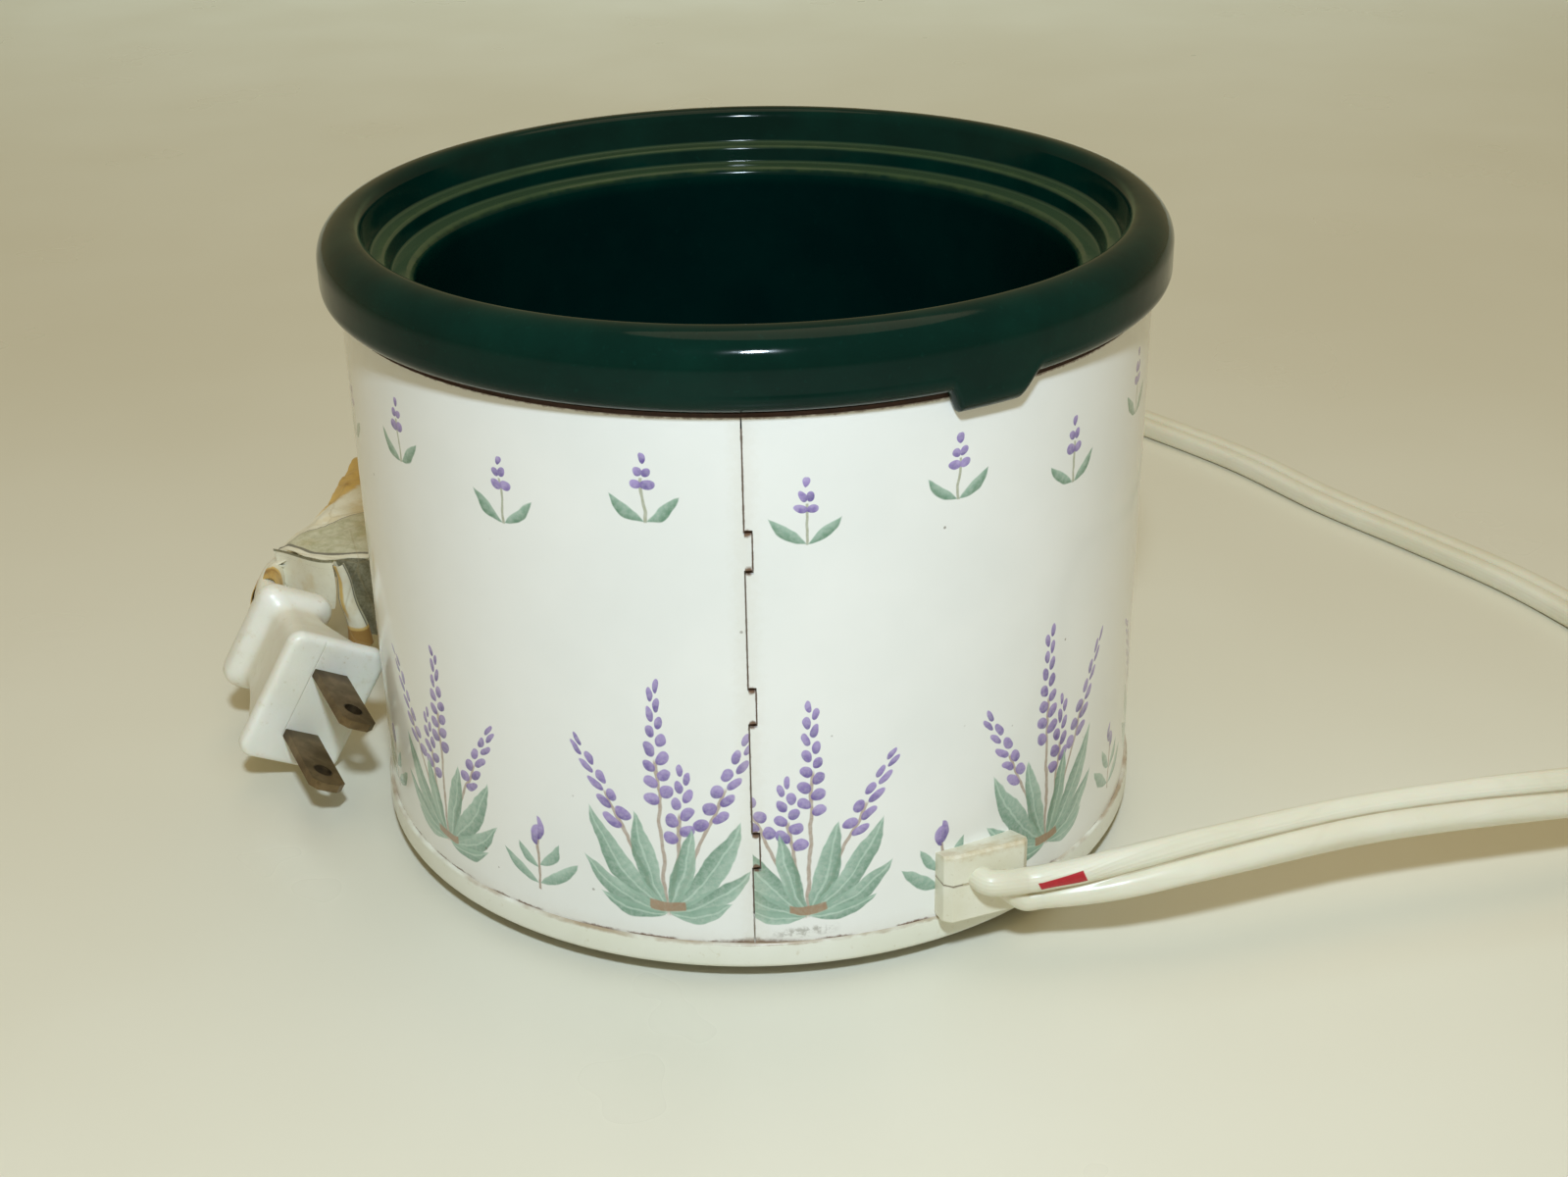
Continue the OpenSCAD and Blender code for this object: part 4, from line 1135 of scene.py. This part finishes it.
def paper():
    g = G("stained_paper", ior=1.4, sheen=0.1)
    stain_and_shade, rule_and_shade, rule2 = g.attr("stain_and_shade"), g.attr("rule_and_shade"), g.attr("rule2")
    c = g.mix(g.step(g.noise(8, 4), 0.3, 0.7), lin(222, 216, 190), lin(234, 230, 210))
    fibre = g.noise(0.7, 4, 0.7)
    c = g.mix(g.step(fibre, 0.55, 0.8) * 0.4, c, lin(188, 176, 140))
    stain = g.step(g.noise(7, 3, 0.6), 0.5, 0.66)
    c = g.mix(stain * 0.35, c, lin(206, 178, 112))
    # a tinted field in a thin ruled border
    field = g.step(rule_and_shade, 0.09, 0.1) * g.step(rule2, 0.046, 0.05) * g.step(rule_and_shade, 3.0, 2.9)
    c = g.mix(field * g.step(g.noise(1.6, 3, 0.7), 0.3, 0.7, 0.4, 0.75), c, lin(156, 155, 114))
    line = g.f("MAXIMUM", g.step(abs(rule_and_shade - 0.075), 0.018, 0.009), g.step(abs(rule2 - 0.04), 0.012, 0.006))
    c = g.mix(line * 0.8, c, lin(70, 64, 50))
    # painted shade: the hanging side and the strip under the panel's front edge are darkened to a dull olive
    c = g.mix(g.step(rule_and_shade, 3.2, 3.5) * g.step(fibre, 0.3, 0.7, 0.95, 0.75), c, lin(104, 98, 66))
    # old amber stains; the darkest brown, at the bottom of the rolled side, is partly painted shade
    wet_and_shade = stain_and_shade + (g.noise(3.5, 3, 0.6) - 0.5) * 0.9
    c = g.mix(g.step(wet_and_shade, 0.2, 0.75) * 0.85, c, lin(208, 168, 72))
    c = g.mix(g.step(wet_and_shade, 0.9, 1.3) * 0.75, c, lin(132, 88, 34))
    crease = g.step(g.cells(13, "DISTANCE_TO_EDGE"), 0.02, 0.0)
    c = g.mix(crease * 0.25, c, lin(170, 152, 112))
    g.set("color", c)
    g.set("rough", g.step(fibre, 0.3, 0.7, 0.7, 0.9))
    g.set("normal", g.bump(fibre * 0.4 - crease * 0.6 + g.noise(5, 3), 0.14, 0.6))
    return g


def rubber():
    g = G("foot_rubber", ior=1.45)
    g.set("color", g.dusty(lin(44, 43, 41), lin(92, 86, 74), lin(58, 56, 53), 6.0, 0.8))
    g.set("rough", g.step(g.noise(2, 3), 0.3, 0.7, 0.6, 0.8))
    g.set("normal", g.bump(g.noise(0.5, 3), 0.04, 0.5))
    return g


def mica():
    g = G("pressed_mica", ior=1.58)
    flake = g.cells(2.6)
    c = g.mix(g.step(flake, 0.1, 0.7), lin(206, 192, 150), lin(168, 148, 100))
    g.set("color", g.mix(g.step(g.noise(11, 3), 0.45, 0.7) * 0.5, c, lin(120, 98, 62)))
    g.set("rough", g.step(flake, 0.1, 0.7, 0.25, 0.5))
    g.set("normal", g.bump(flake, 0.04, 0.5))
    return g


def sleeving(name, a, b):
    g = G(name, ior=1.45, sheen=0.3)
    braid = g.f("SINE", (g.x + g.y + g.z) * 5.0) * g.f("SINE", (g.x - g.y + g.z) * 5.0)
    g.set("color", g.mix(g.step(braid, -0.6, 0.6), a, b))
    g.set("rough", g.step(g.noise(1.2, 3), 0.3, 0.7, 0.65, 0.85))
    g.set("normal", g.bump(braid, 0.08, 0.6))
    return g


def floor_paint():
    g = G("pale_floor", ior=1.45)
    c = g.mix(g.step(g.noise(160, 3), 0.3, 0.7), lin(226, 222, 204), lin(231, 228, 212))
    g.set("color", c)
    g.set("rough", g.step(g.noise(60, 3), 0.3, 0.7, 0.27, 0.34))
    g.set("normal", g.bump(g.noise(3.0, 3), 0.02, 0.4))
    return g


BRIGHT = steel("plated_sheet", lin(186, 188, 190), lin(208, 209, 210), 0.34)
FASTEN = steel("zinc_fasteners", lin(160, 162, 164), lin(190, 190, 188), 0.38)
RIBBON = steel("oxidised_ribbon", lin(96, 90, 82), lin(132, 122, 108), 0.45)
FUSE = steel("fuse_case", lin(196, 176, 120), lin(216, 198, 146), 0.35)
MICA, VINYL, BUSH = mica(), vinyl(), bushing_plastic()
BY_SLOT = {
    "well_aluminium": aluminium(), "bright_steel": BRIGHT, "fastener_steel": FASTEN, "foot_rubber": rubber(),
    "mica": MICA, "ribbon_alloy": RIBBON, "fuse_case": FUSE,
    "live_sleeving": sleeving("red_sleeving", lin(176, 52, 44), lin(140, 30, 26)),
    "neutral_sleeving": sleeving("blue_sleeving", lin(70, 82, 104), lin(44, 54, 74)),
    "crimp_nylon": plastic("crimp_nylon", lin(228, 226, 214), lin(188, 182, 160), lin(236, 235, 226), 0.4),
    "bushing_plastic": BUSH, "blade_brass": brass(), "cord_vinyl": VINYL,
}
for sub in frame["record"]["subparts"]:
    if sub["material_slot"] in BY_SLOT:
        paint(NODE[sub["node"]], BY_SLOT[sub["material_slot"]])
for name in ("heating_well", "base_plate", "heat_shield", "feet", "tie_bolt", "tie_nut", "tie_washer"):
    NODE[name].data.polygons.foreach_set("use_smooth", [True] * len(NODE[name].data.polygons))
    NODE[name].data.set_sharp_from_angle(angle=rad(32))
bevel(NODE["plug_blades"], 0.16)

put_in(paint(CROCK, glaze()), "crock", "crock_glaze", "crock")
put_in(paint(SLEEVE, enamel()), "heater_base", "sleeve_enamel", "outer_sleeve")
put_in(paint(RING, ring_plastic()), "heater_base", "ring_plastic", "base_ring")
put_in(paint(BLOCK_UP, BUSH), "heater_base", "bushing_plastic", "bushing_upper")
put_in(paint(BLOCK_LOW, BUSH), "heater_base", "bushing_plastic", "bushing_lower")
put_in(paint(CORD, VINYL), "heater_base", "cord_vinyl", "cord")
put_in(paint(ELBOW, VINYL), "heater_base", "cord_vinyl", "cord_elbow")
put_in(paint(PLUG, plug_vinyl()), "heater_base", "plug_vinyl", "plug_body")
put_in(paint(TAG, paper()), "heater_base", "tag_paper", "cord_tag")

tuple(blk(69, 11.1, 15) / 1000)


# ---------------------------------------------------------------- floor and light
def make_floor():
    n, half = 24, 3000.0
    verts = [(-half + 2 * half * i / n, -half + 2 * half * j / n, 0) for j in range(n + 1) for i in range(n + 1)]
    faces = [[j * (n + 1) + i, j * (n + 1) + i + 1, (j + 1) * (n + 1) + i + 1, (j + 1) * (n + 1) + i]
             for j in range(n) for i in range(n)]
    return paint(build("floor", verts, faces, fix=False), floor_paint())


make_floor()


def area(name, at, to, size, power, colour=(1, 1, 1)):
    d = bpy.data.lights.new(name, "AREA")
    d.shape, d.size, d.energy, d.color = "DISK", size, power, colour
    ob = bpy.data.objects.new(name, d)
    ob.location = at
    ob.rotation_euler = (Vector(to) - Vector(at)).to_track_quat("-Z", "Y").to_euler()
    scene.collection.objects.link(ob)
    return ob


area("key", (0.01, -0.385, 0.435), (0, 0, 0.04), 0.05, 2.25, (0.725, 0.87, 1.0))
area("top", (0.15, 0.25, 1.25), (0, 0, 0), 0.9, 2.45, (1.0, 0.78, 0.5))
BACK = area("back", (0.0, 1.5, 1.35), (0, 1.35, 0), 1.2, 5.6, (0.66, 0.9, 1.0))
BACK.visible_glossy, BACK.data.spread = False, rad(80)
world = bpy.data.worlds.new("world")
world.use_nodes = True
bg = world.node_tree.nodes["Background"]
bg.inputs["Color"].default_value = (1.0, 0.8, 0.4, 1)
bg.inputs["Strength"].default_value = 0.28
scene.world = world
scene.view_settings.view_transform = "Standard"

bpy.context.view_layer.update()
